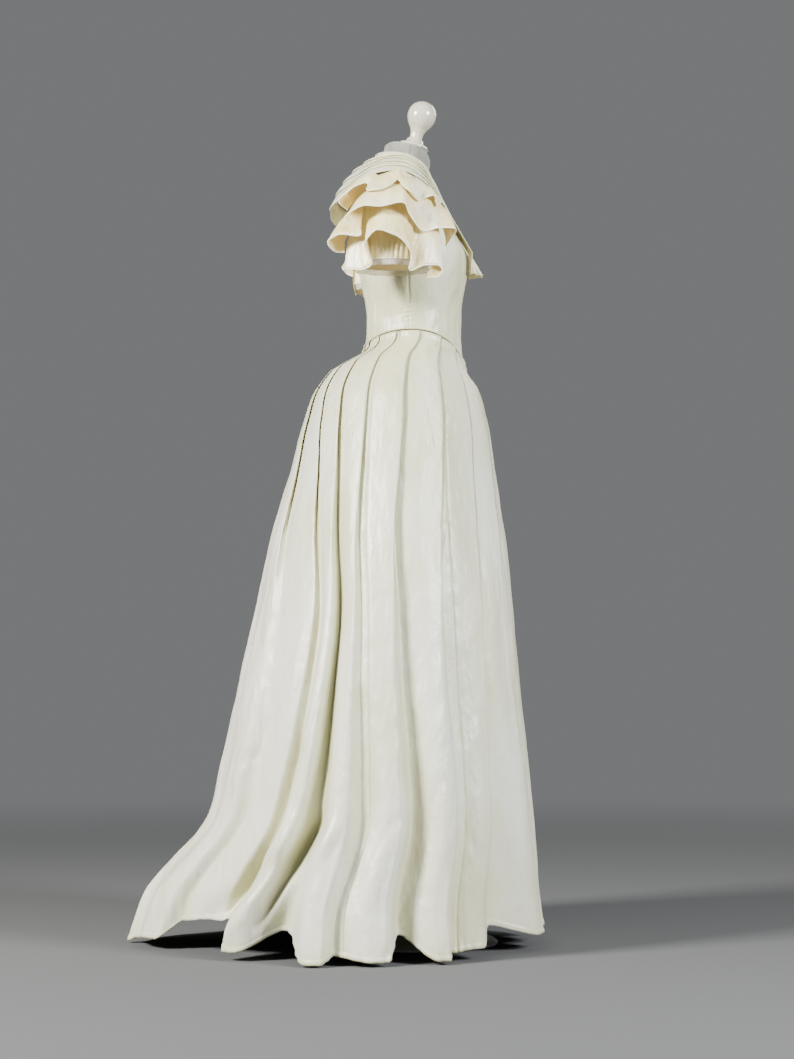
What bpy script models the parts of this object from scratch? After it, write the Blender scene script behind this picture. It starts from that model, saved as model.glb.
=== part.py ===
"""Long satin wedding dress on a dress form, in metres, +Z up.

The dress faces -Y and its short train lies behind, at +Y. The stand's pole is the Z axis, and the floor is z = 0.
Each cut piece of cloth is an open surface, lofted through sections worked out from the tables below, with a
Solidify wall. A side is +1 for the wearer's left (+X) and -1 for the wearer's right.
"""

import math

import bmesh
import bpy
import numpy as np

# Walls and gaps
SEAM_GAP = 0.0004
FORM_CLEARANCE = 0.0011
BUST_CLEARANCE = 0.0022
BUST_INSET = 0.0022
BUST_HEIGHTS = (1.255, 1.300, 1.420, 1.450)
BODICE_WALL = 0.0016
SKIRT_WALL = 0.0015
SLEEVE_WALL = 0.0012
RUFFLE_WALL = 0.0012
COLLAR_WALL = 0.0016
REST_GAP = 0.0003

# Dress form: horizontal sections of the padded torso, from the hips to the top of the neck
TORSO_COLUMNS = ("height", "half_width", "front", "back")
TORSO = (
    (0.930, 0.1600, 0.1000, 0.1080),
    (0.970, 0.1690, 0.1080, 0.1150),
    (1.020, 0.1720, 0.1110, 0.1170),
    (1.080, 0.1620, 0.1080, 0.1110),
    (1.140, 0.1430, 0.1020, 0.0995),
    (1.190, 0.1280, 0.0970, 0.0900),
    (1.235, 0.1220, 0.0962, 0.0885),
    (1.270, 0.1275, 0.0972, 0.0895),
    (1.306, 0.1400, 0.1020, 0.0955),
    (1.335, 0.1495, 0.1068, 0.1000),
    (1.366, 0.1560, 0.1045, 0.1025),
    (1.400, 0.1600, 0.0920, 0.1028),
    (1.430, 0.1632, 0.0765, 0.0998),
    (1.456, 0.1670, 0.0620, 0.0955),
    (1.478, 0.1715, 0.0510, 0.0880),
    (1.497, 0.1660, 0.0420, 0.0800),
    (1.512, 0.1400, 0.0350, 0.0720),
    (1.527, 0.1020, 0.0320, 0.0650),
    (1.541, 0.0720, 0.0335, 0.0600),
    (1.556, 0.0550, 0.0360, 0.0575),
    (1.572, 0.0530, 0.0360, 0.0560),
    (1.581, 0.0480, 0.0330, 0.0520),
    (1.587, 0.0410, 0.0290, 0.0440),
)
TORSO_STEP_DEG = 12
TORSO_ROWS = (
    0.930, 0.960, 1.000, 1.050, 1.095, 1.135, 1.165, 1.190, 1.213, 1.235, 1.257, 1.280,
    1.306, 1.335, 1.366, 1.400, 1.430, 1.456, 1.478, 1.497, 1.512, 1.527, 1.541, 1.556, 1.572, 1.581, 1.587,
)
NECK_TILT_FROM = 1.535
NECK_TILT_FULL = 1.585
NECK_SLOPE = 0.27
NECK_CENTRE_Y = -0.003
NECK_TOP_Z = 1.592
NECK_DOME_RADIUS = 0.031

# Turned pieces: profiles as (radius, height), top to bottom
FINIAL_PROFILE = (
    (0.0000, 0.0950), (0.0090, 0.0935), (0.0185, 0.0885), (0.0255, 0.0800), (0.0285, 0.0690),
    (0.0280, 0.0590), (0.0235, 0.0470), (0.0165, 0.0365), (0.0128, 0.0265), (0.0128, 0.0163), (0.0000, 0.0163),
)
CAP_PROFILE = (
    (0.0000, 0.0160), (0.0150, 0.0160), (0.0190, 0.0085), (0.0290, 0.0022), (0.0290, 0.0003), (0.0000, 0.0003),
)
BASE_PROFILE = (
    (0.0000, 0.0340), (0.0240, 0.0340), (0.0270, 0.0180), (0.1000, 0.0140), (0.1650, 0.0085), (0.1700, 0.0040),
    (0.1700, 0.0000), (0.0000, 0.0000),
)
POLE_RADIUS = 0.014
TURNED_STEPS = 24

# Bodice: the pointed waist seam, the top edge under the collar, and the seams between its panels
WAIST_COLUMNS = ("angle_deg", "height")
WAIST = ((0, 1.1450), (20, 1.1560), (45, 1.1830), (75, 1.2010), (100, 1.2040), (130, 1.1980), (160, 1.1860), (180, 1.1800))
BODICE_TOP_COLUMNS = ("angle_deg", "height")
BODICE_TOP = (
    (0, 1.392), (12, 1.424), (24, 1.436), (36, 1.438), (48, 1.436), (60, 1.422), (72, 1.380), (84, 1.348),
    (96, 1.340), (108, 1.348), (120, 1.366), (132, 1.418), (144, 1.434), (156, 1.434), (168, 1.428), (180, 1.422),
)
BODICE_SEAMS_DEG = (24, 96, 144)
BODICE_ROWS = 7
PIPING_RADIUS = 0.0019

# Skirt: horizontal outline of the hung skirt, with the train flowing out behind near the floor
SKIRT_COLUMNS = ("height", "half_width", "front", "back", "back_roundness")
SKIRT = (
    (0.000, 0.392, 0.262, 0.562, 1.30),
    (0.040, 0.388, 0.256, 0.550, 1.34),
    (0.110, 0.381, 0.248, 0.522, 1.42),
    (0.170, 0.375, 0.243, 0.470, 1.60),
    (0.230, 0.369, 0.238, 0.414, 1.85),
    (0.350, 0.356, 0.228, 0.378, 1.95),
    (0.500, 0.337, 0.214, 0.347, 2.00),
    (0.660, 0.314, 0.198, 0.308, 2.00),
    (0.800, 0.290, 0.183, 0.282, 2.00),
    (0.940, 0.258, 0.163, 0.240, 2.00),
    (1.030, 0.232, 0.150, 0.216, 2.00),
    (1.100, 0.205, 0.131, 0.190, 2.00),
    (1.145, 0.178, 0.112, 0.154, 2.00),
    (1.175, 0.152, 0.105, 0.124, 2.00),
    (1.205, 0.128, 0.101, 0.096, 2.00),
)
WAIST_OFFSET = 0.0052
WAIST_EASE = 0.055

# Knife pleats: where each outer fold lies at the waist, half way down and at the hem, its reach past the outline
# there, the depth of the hollow behind it, and how high the hem hangs at the fold and in the hollow
FOLD_COLUMNS = (
    "waist_deg", "middle_deg", "hem_deg", "crest", "hollow", "crest_hem", "hollow_hem", "tuck", "left_turn_deg",
)
FOLDS = (
    (0, 0, 0, 0.004, 0.008, 0.036, 0.040, 0.08, 0),
    (11, 24, 14, 0.008, 0.034, 0.030, 0.056, 0.10, 1),
    (36, 44, 50, 0.010, 0.006, 0.022, 0.016, 0.11, -2),
    (58, 65, 61, 0.030, 0.028, 0.007, 0.052, 0.10, 2),
    (84, 86, 77, 0.024, 0.004, 0.008, 0.018, 0.07, -1),
    (110, 102, 97, 0.034, 0.036, 0.004, 0.056, 0.10, 2),
    (133, 110, 125, 0.032, 0.034, 0.016, 0.070, 0.11, -2),
    (151, 122, 135, -0.012, 0.020, 0.066, 0.058, 0.09, 0),
    (165, 146, 154, 0.008, 0.010, 0.020, 0.012, -0.35, 0),
    (180, 180, 180, 0.004, 0.000, 0.004, 0.004, 0.00, 0),
)
PLEAT_CREST = 0.0032
PLEAT_HOLLOW = 0.0024
HOLLOW_AT = 0.6
HEM_HOLLOW_AT = 0.66
PANEL_FLAT = 0.22
TURN_STEEP = 0.86
SOFT_FROM = 0.06
SOFT_FULL = 0.72
FOLD_STATIONS = (0.0, 0.22, 0.42, 0.60, 0.80)
SKIRT_ROWS = (0.0, 0.014, 0.045, 0.095, 0.165, 0.27, 0.42, 0.60, 0.76, 0.83, 0.89, 0.945, 1.0)
SEAM_STATION = 2
SKIRT_SEAM_FOLDS = (2, 4, 6)
SKIRT_SEAM_PULL = 0.00024

# Sleeve: the armhole, and the two rings that the puffed tube turns through, as centre, outward and forward sizes
ARMHOLE_Y = 0.018
ARMHOLE_Z = 1.420
ARMHOLE_DEPTH = 0.050
ARMHOLE_HEIGHT = 0.071
SLEEVE_BOXING = 0.7
SLEEVE_OFFSET = 0.0076
SLEEVE_AXIS = (0.165, 0.036)
SLEEVE_TURN = ((0.215, 0.030, 1.436), 0.045, 0.088, 0.072)
SLEEVE_HEM = ((0.205, 0.040, 1.322), 0.050, 0.078, 0.004)
SLEEVE_STEP_DEG = 20
SLEEVE_ROWS = (0.0, 0.10, 0.36, 0.62, 0.80, 1.0)

# Ruffles round the outside of the sleeve: the turn of the sleeve where a piece of the ruffle is sewn on, and the
# place of the hem below it; how far down the sleeve each is sewn; how far its cloth bows out and up on the way, less
# at the front; and the share of its reach behind the arm that the left sleeve's has
RUFFLE_COLUMNS = ("root_deg", "hem_x", "hem_y", "hem_z")
RUFFLES = {
    "ruffle_low": (
        (-92, 0.214, 0.128, 1.303), (-80, 0.230, 0.127, 1.309), (-64, 0.248, 0.095, 1.305),
        (-52, 0.256, 0.078, 1.315), (-42, 0.268, 0.085, 1.334), (-31, 0.280, 0.091, 1.349),
        (-17, 0.292, 0.072, 1.372), (-2, 0.294, 0.045, 1.368), (12, 0.286, 0.015, 1.351),
        (21, 0.274, 0.002, 1.327), (29, 0.266, 0.007, 1.303), (44, 0.262, -0.023, 1.311),
        (58, 0.252, -0.052, 1.311), (67, 0.246, -0.058, 1.301), (75, 0.244, -0.047, 1.291), (84, 0.248, -0.026, 1.289),
    ),
    "ruffle_middle": (
        (-92, 0.220, 0.126, 1.342), (-84, 0.230, 0.150, 1.343), (-77, 0.242, 0.163, 1.357),
        (-67, 0.256, 0.142, 1.370), (-52, 0.262, 0.100, 1.368), (-43, 0.268, 0.102, 1.381),
        (-34, 0.282, 0.126, 1.398), (-22, 0.292, 0.102, 1.417), (-4, 0.296, 0.060, 1.418),
        (11, 0.290, 0.015, 1.424), (19, 0.280, 0.006, 1.406), (30, 0.266, -0.015, 1.379),
        (48, 0.254, -0.049, 1.384), (64, 0.238, -0.082, 1.384), (76, 0.226, -0.075, 1.370), (90, 0.212, -0.064, 1.356),
    ),
    "ruffle_top": (
        (-78, 0.216, 0.116, 1.424), (-70, 0.226, 0.131, 1.428), (-62, 0.236, 0.142, 1.440),
        (-52, 0.244, 0.115, 1.463), (-42, 0.240, 0.088, 1.473), (-35, 0.254, 0.082, 1.456),
        (-24, 0.264, 0.068, 1.452), (-9, 0.262, 0.042, 1.465), (1, 0.256, 0.028, 1.477),
        (12, 0.256, 0.015, 1.455), (25, 0.254, -0.008, 1.437), (37, 0.248, -0.025, 1.444),
        (47, 0.240, -0.041, 1.449), (55, 0.233, -0.0445, 1.442), (63, 0.228, -0.038, 1.433), (72, 0.222, -0.030, 1.430),
    ),
}
RUFFLE_ROOTS = {"ruffle_low": 0.62, "ruffle_middle": 0.36, "ruffle_top": 0.10}
RUFFLE_BULGES = {"ruffle_low": 0.012, "ruffle_middle": 0.012, "ruffle_top": 0.008}
RUFFLE_RISES = {"ruffle_low": 0.004, "ruffle_middle": 0.010, "ruffle_top": 0.022}
RISE_EASES_DEG = (0, 45)
RISE_AT_FRONT = 0.25
LEFT_BACK_REACH = 0.88
LEFT_BACK_SHIFT = (0.6, -1.0, 0.0)
RUFFLE_STAND_OFF = 0.0017
SLEEVE_OUTSIDE_DEG = 120
LAYER_GAP = 0.0042
LAYER_WINDOW_DEG = 6.0
LAYER_WINDOW_Z = 0.008
RUFFLE_ROWS = (0.0, 0.36, 0.70, 1.0)
NET_DROP = 0.012
NET_FLARE = -0.005
NET_WAVES = 9
NET_WAVE_DEPTH = 0.003
NET_ROWS = (0.0, 0.5, 1.0)
NET_WALL = 0.001

# Collar: the pleated band from the centre back, over the shoulder, to the centre front, by turns about a place
# inside the chest
COLLAR_COLUMNS = ("neck_deg", "neck_height", "edge_x", "edge_y", "edge_z", "bulge")
COLLAR = (
    (180, 1.562, 0.000, 0.160, 1.458, 1.0),
    (150, 1.563, 0.072, 0.160, 1.452, 1.0),
    (122, 1.563, 0.138, 0.146, 1.454, 1.0),
    (98, 1.560, 0.190, 0.100, 1.488, 0.8),
    (74, 1.551, 0.206, 0.035, 1.502, 0.5),
    (34, 1.526, 0.188, -0.012, 1.490, 0.3),
    (19, 1.490, 0.146, -0.046, 1.464, 0.2),
    (12, 1.440, 0.094, -0.080, 1.424, 0.1),
    (5, 1.393, 0.032, -0.119, 1.372, 0.0),
)
COLLAR_INSIDE = (0.0, 0.0, 1.3)
COLLAR_BULGE = 0.018
COLLAR_PLEATS = 5
COLLAR_PLEAT_HEIGHT = 0.0028
COLLAR_FOLD_AT = 0.78
COLLAR_ROLL_AT = 0.05
COLLAR_ROLL = 0.006
COLLAR_SEAT = 0.0051
COLLAR_FULL_WIDTH = 0.10
COLLAR_COLUMNS_ALONG = 17

# Tail: the fanned end of each collar half, hanging at the centre front
TAIL_HEM_INNER = (0.004, -0.144, 1.328)
TAIL_HEM_OUTER = (0.044, -0.113, 1.330)
TAIL_WAVES = 2.5
TAIL_WAVE_DEPTH = 0.005
TAIL_STATIONS = (0.35, 0.70, 1.0)

# Colours as linear RGB, with roughness and metallic
SATIN = ("ivory_satin", (0.80, 0.78, 0.68), 0.42, 0.0)
RUFFLE_SATIN = ("cream_satin", (0.80, 0.74, 0.58), 0.40, 0.0)
TULLE = ("tulle", (0.80, 0.79, 0.72), 0.75, 0.0)
COVER = ("form_cover", (0.52, 0.52, 0.45), 0.85, 0.0)
LACQUER = ("cream_lacquer", (0.72, 0.68, 0.58), 0.18, 0.0)
STEEL = ("white_steel", (0.78, 0.78, 0.76), 0.35, 0.6)


def curve_through(xs, ys, x):
    """A smooth curve through rows, as cubic pieces whose slopes are the mean of their neighbours."""
    xs = np.asarray(xs, float)
    ys = np.asarray(ys, float)
    x = np.clip(np.asarray(x, float), xs[0], xs[-1])
    steps = np.diff(xs)
    chords = np.diff(ys) / steps
    slopes = np.empty_like(ys)
    slopes[1:-1] = (chords[:-1] * steps[1:] + chords[1:] * steps[:-1]) / (steps[1:] + steps[:-1])
    slopes[0] = chords[0]
    slopes[-1] = chords[-1]
    i = np.clip(np.searchsorted(xs, x, side="right") - 1, 0, len(xs) - 2)
    h = steps[i]
    u = (x - xs[i]) / h
    start = (1 + 2 * u) * (1 - u) ** 2 * ys[i] + u * (1 - u) ** 2 * h * slopes[i]
    end = u**2 * (3 - 2 * u) * ys[i + 1] + u**2 * (u - 1) * h * slopes[i + 1]
    return start + end


def column(table, names, name, key, at):
    """One named column of a table, read smoothly at a value of its key column."""
    rows = np.array(table, float)
    return curve_through(rows[:, names.index(key)], rows[:, names.index(name)], at)


def smooth_step(low, high, x):
    u = np.clip((x - low) / (high - low), 0, 1)
    return u * u * (3 - 2 * u)


def unit(vectors):
    return vectors / np.maximum(np.linalg.norm(vectors, axis=-1, keepdims=True), 1e-12)


def torso_size(height):
    """Half width, centre and half depth of the form at a height."""
    half_width, front, back = (column(TORSO, TORSO_COLUMNS, n, "height", height) for n in TORSO_COLUMNS[1:])
    return half_width, (back - front) / 2, (back + front) / 2


def torso_point(angle, height):
    """A point of the form. The angle is 0 at the centre front, 90 degrees at the side and 180 at the back."""
    half_width, centre, depth = torso_size(height)
    tilt = smooth_step(NECK_TILT_FROM, NECK_TILT_FULL, height) * NECK_SLOPE
    x = half_width * np.sin(angle)
    y = centre - depth * np.cos(angle)
    return np.stack([x, y, height + tilt * (y - NECK_CENTRE_Y) + 0 * x], -1)


def torso_normal(angle, height):
    small = 1e-4
    along = torso_point(angle + small, height) - torso_point(angle - small, height)
    up = torso_point(angle, height + small) - torso_point(angle, height - small)
    return unit(np.cross(along, up))


def over_bust(height):
    """1 over the bust and 0 above and below it."""
    low, full, from_here, high = BUST_HEIGHTS
    return smooth_step(low, full, height) * (1 - smooth_step(from_here, high, height))


def form_clearance(height):
    """How far the cloth stands off the form: a little more over the curve of the bust."""
    return FORM_CLEARANCE + BUST_CLEARANCE * over_bust(height)


def waist_height(angle):
    """The waist seam, the same on both sides."""
    degrees = np.degrees(np.abs(angle))
    return column(WAIST, WAIST_COLUMNS, "height", "angle_deg", np.where(degrees > 180, 360 - degrees, degrees))


def waist_point(angle):
    height = waist_height(angle)
    return torso_point(angle, height) + torso_normal(angle, height) * WAIST_OFFSET


def skirt_outline(angle, height):
    """The hung skirt's outline, before its pleats: a squashed oval whose back half draws out to the train."""
    size = {n: column(SKIRT, SKIRT_COLUMNS, n, "height", height) for n in SKIRT_COLUMNS[1:]}
    centre = (size["back"] - size["front"]) / 2
    depth = (size["back"] + size["front"]) / 2
    toward_back = np.cos(angle) < 0
    power = np.where(toward_back, 2 / size["back_roundness"], 1.0)
    x = size["half_width"] * np.sign(np.sin(angle)) * np.abs(np.sin(angle)) ** power
    y = centre - depth * np.sign(np.cos(angle)) * np.abs(np.cos(angle)) ** power
    return np.stack([x, y], -1)


def skirt_ease(angle, height):
    """The outline, eased into the waist seam over the first few centimetres."""
    seam = waist_point(angle)
    drop = waist_height(angle) - height
    weight = smooth_step(0.0, WAIST_EASE, drop)[..., None]
    return skirt_outline(angle, height) * weight + seam[..., :2] * (1 - weight)


def fold_row(index, side):
    """One row of the fold table as a dictionary, with its angles turned a little on the left side."""
    row = dict(zip(FOLD_COLUMNS, FOLDS[index]))
    if side > 0:
        row["middle_deg"] += row["left_turn_deg"] / 2
        row["hem_deg"] += row["left_turn_deg"]
    return row


def skirt_point(index, station, down, side):
    """The middle of the skirt's cloth. Station runs 0 to 1 from fold index to the next, down 0 to 1 to the hem."""
    station, down = np.broadcast_arrays(np.asarray(station, float), np.asarray(down, float))
    this, following = fold_row(index, side), fold_row(index + 1, side)
    start, end = (
        np.radians(curve_through((0, 0.5, 1), (r["waist_deg"], r["middle_deg"], r["hem_deg"]), down))
        for r in (this, following)
    )
    on_panel = station <= HOLLOW_AT
    panel = np.clip(station / HOLLOW_AT, 0, 1)
    turn = np.clip((station - HOLLOW_AT) / (1 - HOLLOW_AT), 0, 1)
    tuck = this["tuck"]
    crisp_place = np.where(on_panel, (1 + tuck) * panel, 1 + tuck * (1 - turn))
    soft_place = np.where(on_panel, HEM_HOLLOW_AT * panel, HEM_HOLLOW_AT + (1 - HEM_HOLLOW_AT) * turn)
    crisp_sink = np.where(on_panel, panel, 1 - turn)
    soft_sink = np.where(on_panel, smooth_step(PANEL_FLAT, 1, panel), 1 - smooth_step(0, TURN_STEEP, turn))
    soft = smooth_step(SOFT_FROM, SOFT_FULL, down)
    place = crisp_place * (1 - soft) + soft_place * soft
    sink = crisp_sink * (1 - soft) + soft_sink * soft
    angle = start + (end - start) * place
    crest = np.where(on_panel, this["crest"], following["crest"])
    crest = PLEAT_CREST + (crest - PLEAT_CREST) * down
    hollow = PLEAT_HOLLOW + (this["hollow"] - PLEAT_HOLLOW) * down
    reach = crest - (crest + hollow) * sink
    crest_hem = np.where(on_panel, this["crest_hem"], following["crest_hem"])
    hem = crest_hem + (this["hollow_hem"] - crest_hem) * soft_sink
    top = waist_height(angle) - SEAM_GAP / 2
    height = top + (hem - top) * down
    small = 1e-3
    flat = skirt_ease(angle, height)
    tangent = unit(skirt_ease(angle + small, height) - skirt_ease(angle - small, height))
    outward = np.stack([tangent[..., 1], -tangent[..., 0]], -1)
    flat = flat + outward * reach[..., None]
    return np.stack([side * flat[..., 0], flat[..., 1], height], -1)


def skirt_columns(first, last, side):
    """Columns of points from one (fold, station number) to another, each a list down the skirt."""
    down = np.array(SKIRT_ROWS)
    columns = []
    fold, number = first
    while (fold, number) <= last:
        columns.append(skirt_point(fold, FOLD_STATIONS[number], down, side))
        number += 1
        if number == len(FOLD_STATIONS):
            fold, number = fold + 1, 0
    return columns


def boxed(cosine):
    return np.sign(cosine) * np.abs(cosine) ** SLEEVE_BOXING


def armhole_point(around):
    y = ARMHOLE_Y - ARMHOLE_DEPTH * np.sin(around)
    z = ARMHOLE_Z + ARMHOLE_HEIGHT * boxed(np.cos(around))
    half_width, centre, depth = torso_size(z)
    x = half_width * np.sqrt(np.clip(1 - ((y - centre) / depth) ** 2, 0, 1)) + SLEEVE_OFFSET
    return np.stack([x, y, z], -1)


def sleeve_ring(ring, around):
    (x, y, z), outward, forward, upward = ring
    return np.stack(
        [
            x + outward * np.cos(around),
            y - forward * np.sin(around),
            z + upward * boxed(np.cos(around)),
        ],
        -1,
    )


def sleeve_point(around, down):
    """The sleeve's tube, from the armhole (0) to its hem (1). Around is 0 on the outside and positive to the front."""
    around, down = np.broadcast_arrays(np.asarray(around, float), np.asarray(down, float))
    t = down[..., None]
    turn = sleeve_ring(SLEEVE_TURN, around)
    hem = sleeve_ring(SLEEVE_HEM, around)
    return (1 - t) ** 2 * armhole_point(around) + 2 * t * (1 - t) * turn + t**2 * hem


def sleeve_polar(points):
    """Points seen from the sleeve's upright axis: their turn about it, height and distance from it."""
    across = points[..., :2] - np.array(SLEEVE_AXIS)
    return np.arctan2(-across[..., 1], across[..., 0]), points[..., 2], np.linalg.norm(across, axis=-1)


def lay_over(points, layers):
    """Moves the points of a ruffle out from the sleeve's axis wherever the layers under it stand further out."""
    under = np.concatenate([layer.reshape(-1, 3) for layer in layers])
    under_turn, under_z, under_out = sleeve_polar(under)
    turn, z, out = sleeve_polar(points)
    moved = points.copy()
    for place in np.ndindex(turn.shape):
        near = np.abs(under_turn - turn[place]) < math.radians(LAYER_WINDOW_DEG)
        near &= np.abs(under_z - z[place]) < LAYER_WINDOW_Z
        if near.any():
            least = under_out[near].max() + LAYER_GAP
            if out[place] < least:
                moved[place][:2] += (points[place][:2] - np.array(SLEEVE_AXIS)) * (least / out[place] - 1)
    return moved


def halved(numbers):
    """The numbers, with another half way between each two."""
    return np.interp(np.arange(0, len(numbers) - 0.5, 0.5), np.arange(len(numbers)), numbers)


def thicken_grid(points, times=6):
    """More points between the rows and columns of a grid."""
    rows = np.linspace(0, len(points) - 1, (len(points) - 1) * times + 1)
    low = np.minimum(rows.astype(int), len(points) - 2)
    part_way = (rows - low)[:, None, None]
    points = points[low] * (1 - part_way) + points[low + 1] * part_way
    columns = np.linspace(0, points.shape[1] - 1, (points.shape[1] - 1) * times + 1)
    low = np.minimum(columns.astype(int), points.shape[1] - 2)
    part_way = (columns - low)[None, :, None]
    return points[:, low] * (1 - part_way) + points[:, low + 1] * part_way


def ruffle_points(name, around, down, side):
    """A ruffle sewn round the sleeve, its flutes opening from the sewing line to the hem of the table."""
    small = 1e-3
    place = RUFFLE_ROOTS[name]
    root = sleeve_point(around, place)
    fall = sleeve_point(around, place + small) - sleeve_point(around, place - small)
    turn = sleeve_point(around + small, place) - sleeve_point(around - small, place)
    outward = unit(np.cross(turn, fall))
    root = root + outward * RUFFLE_STAND_OFF
    degrees = np.degrees(around)
    hem = np.stack([column(RUFFLES[name], RUFFLE_COLUMNS, n, "root_deg", degrees) for n in RUFFLE_COLUMNS[1:]], -1)
    if side > 0:
        behind = np.maximum(hem[:, 1] - SLEEVE_AXIS[1], 0)
        hem += behind[:, None] * (1 - LEFT_BACK_REACH) * np.array(LEFT_BACK_SHIFT)
    rise = RUFFLE_RISES[name] * (1 - (1 - RISE_AT_FRONT) * smooth_step(*RISE_EASES_DEG, degrees))
    middle = (root + hem) / 2 + outward * RUFFLE_BULGES[name]
    middle[:, 2] += rise
    return np.array([(1 - t) ** 2 * root + 2 * t * (1 - t) * middle + t**2 * hem for t in down])


def net_points(around):
    """The net frill hanging from the sleeve's hem edge, in small waves."""
    hem = sleeve_point(around, 1.0)
    outward = unit(np.stack([np.cos(around), -np.sin(around), 0 * around], -1))
    rows = []
    for at in NET_ROWS:
        reach = NET_FLARE * at + NET_WAVE_DEPTH * at * np.cos(NET_WAVES * around)
        row = hem + outward * reach[:, None]
        row[:, 2] -= SEAM_GAP + NET_DROP * at
        rows.append(row)
    return np.array(rows)


def collar_edge(along):
    """The collar's outer edge, 0 at the centre back and 1 at the centre front."""
    stations = np.linspace(0, 1, len(COLLAR))
    rows = np.array(COLLAR)
    return np.stack([curve_through(stations, rows[:, COLLAR_COLUMNS.index(f"edge_{axis}")], along) for axis in "xyz"], -1)


def collar_neck(along):
    """The collar's inner edge, close on the form and the bodice."""
    stations = np.linspace(0, 1, len(COLLAR))
    rows = np.array(COLLAR)
    degrees, height = (curve_through(stations, rows[:, COLLAR_COLUMNS.index(n)], along) for n in COLLAR_COLUMNS[:2])
    angle = np.radians(degrees)
    return torso_point(angle, height) + torso_normal(angle, height) * COLLAR_SEAT


def collar_profile():
    """Places across the collar, with the cloth's height there: a roll at the neck, then pleats lapped like shingles."""
    profile = [(0.0, 0.0), (COLLAR_ROLL_AT, COLLAR_ROLL)]
    for pleat in range(COLLAR_PLEATS):
        profile.append(((pleat + COLLAR_FOLD_AT) / COLLAR_PLEATS, COLLAR_PLEAT_HEIGHT))
        profile.append(((pleat + 1) / COLLAR_PLEATS, 0.0))
    return profile


def collar_points(along):
    """Rows of the collar, from the neck out to its edge, in columns along it."""
    neck = collar_neck(along)
    edge = collar_edge(along)
    small = 1e-3
    forward = collar_neck(along + small) - collar_neck(along - small)
    normal = unit(np.cross(forward, edge - neck))
    normal *= np.sign((normal * (neck - np.array(COLLAR_INSIDE))).sum(-1))[..., None]
    narrow = np.clip(np.linalg.norm(edge - neck, axis=-1, keepdims=True) / COLLAR_FULL_WIDTH, 0, 1)
    bulge = curve_through(np.linspace(0, 1, len(COLLAR)), np.array(COLLAR)[:, COLLAR_COLUMNS.index("bulge")], along)
    rows = []
    for place, height in collar_profile():
        raised = narrow * height + bulge[:, None] * COLLAR_BULGE * 4 * place * (1 - place)
        rows.append(neck + (edge - neck) * place + normal * raised)
    return np.array(rows)


def tail_points(end):
    """The fanned tail that runs on from the collar's end column, down to a wavy hem."""
    across = np.linspace(0, 1, len(end))[:, None]
    hem = np.array(TAIL_HEM_INNER) + (np.array(TAIL_HEM_OUTER) - np.array(TAIL_HEM_INNER)) * across
    width = unit(hem[-1] - hem[0])
    face = unit(np.cross(width, np.array((0, 0, -1.0))))
    columns = []
    for down in TAIL_STATIONS:
        wave = TAIL_WAVE_DEPTH * down * np.cos(2 * np.pi * TAIL_WAVES * across)
        columns.append(end + (hem - end) * down + face * wave)
    return np.stack(columns, 1)


def material(kind):
    name, colour, roughness, metallic = kind
    found = bpy.data.materials.get(name)
    if found:
        return found
    made = bpy.data.materials.new(name)
    made.use_nodes = True
    shader = made.node_tree.nodes["Principled BSDF"]
    shader.inputs["Base Color"].default_value = (*colour, 1.0)
    shader.inputs["Roughness"].default_value = roughness
    shader.inputs["Metallic"].default_value = metallic
    made.diffuse_color = (*colour, 1.0)
    return made


def add_object(name, mesh, kind):
    mesh.shade_smooth()
    mesh.materials.append(material(kind))
    made = bpy.data.objects.new(name, mesh)
    parts.objects.link(made)
    return made


def cloth(name, points, wall, kind, closed=False):
    """An open surface over a grid of points, rows first, thickened to a wall. Closed joins the last column to the
    first."""
    points = np.asarray(points, float)
    rows, columns = points.shape[:2]
    shape = bmesh.new()
    corners = [[shape.verts.new(p) for p in row] for row in points]
    for r in range(rows - 1):
        for c in range(columns if closed else columns - 1):
            n = (c + 1) % columns
            shape.faces.new((corners[r][c], corners[r][n], corners[r + 1][n], corners[r + 1][c]))
    bmesh.ops.recalc_face_normals(shape, faces=shape.faces)
    mesh = bpy.data.meshes.new(name)
    shape.to_mesh(mesh)
    shape.free()
    made = add_object(name, mesh, kind)
    solidify = made.modifiers.new("wall", "SOLIDIFY")
    solidify.thickness = wall
    solidify.offset = 0.0
    solidify.use_rim = True
    return made


def lofted_solid(name, rings, kind):
    """A closed solid through rings of equal count, with flat ends."""
    shape = bmesh.new()
    corners = [[shape.verts.new(p) for p in ring] for ring in rings]
    count = len(corners[0])
    for low, high in zip(corners, corners[1:]):
        for c in range(count):
            n = (c + 1) % count
            shape.faces.new((low[c], low[n], high[n], high[c]))
    shape.faces.new(list(reversed(corners[0])))
    shape.faces.new(corners[-1])
    bmesh.ops.recalc_face_normals(shape, faces=shape.faces)
    mesh = bpy.data.meshes.new(name)
    shape.to_mesh(mesh)
    shape.free()
    return add_object(name, mesh, kind)


def turned(name, profile, kind):
    """A profile of (radius, height) turned about the Z axis."""
    mesh = bpy.data.meshes.new(name)
    points = [(radius, 0.0, height) for radius, height in profile]
    edges = [(i, i + 1) for i in range(len(profile) - 1)]
    mesh.from_pydata(points, edges, [])
    made = add_object(name, mesh, kind)
    screw = made.modifiers.new("turn", "SCREW")
    screw.steps = TURNED_STEPS
    screw.render_steps = TURNED_STEPS
    screw.use_merge_vertices = True
    screw.merge_threshold = 0.00005
    return made


def pull_back(columns, distance):
    """Moves the first and last column of a panel towards its middle, to leave the seam gap."""
    first, second = columns[0], columns[1]
    last, before = columns[-1], columns[-2]
    columns[0] = first + unit(second - first) * distance
    columns[-1] = last + unit(before - last) * distance
    return columns


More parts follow.
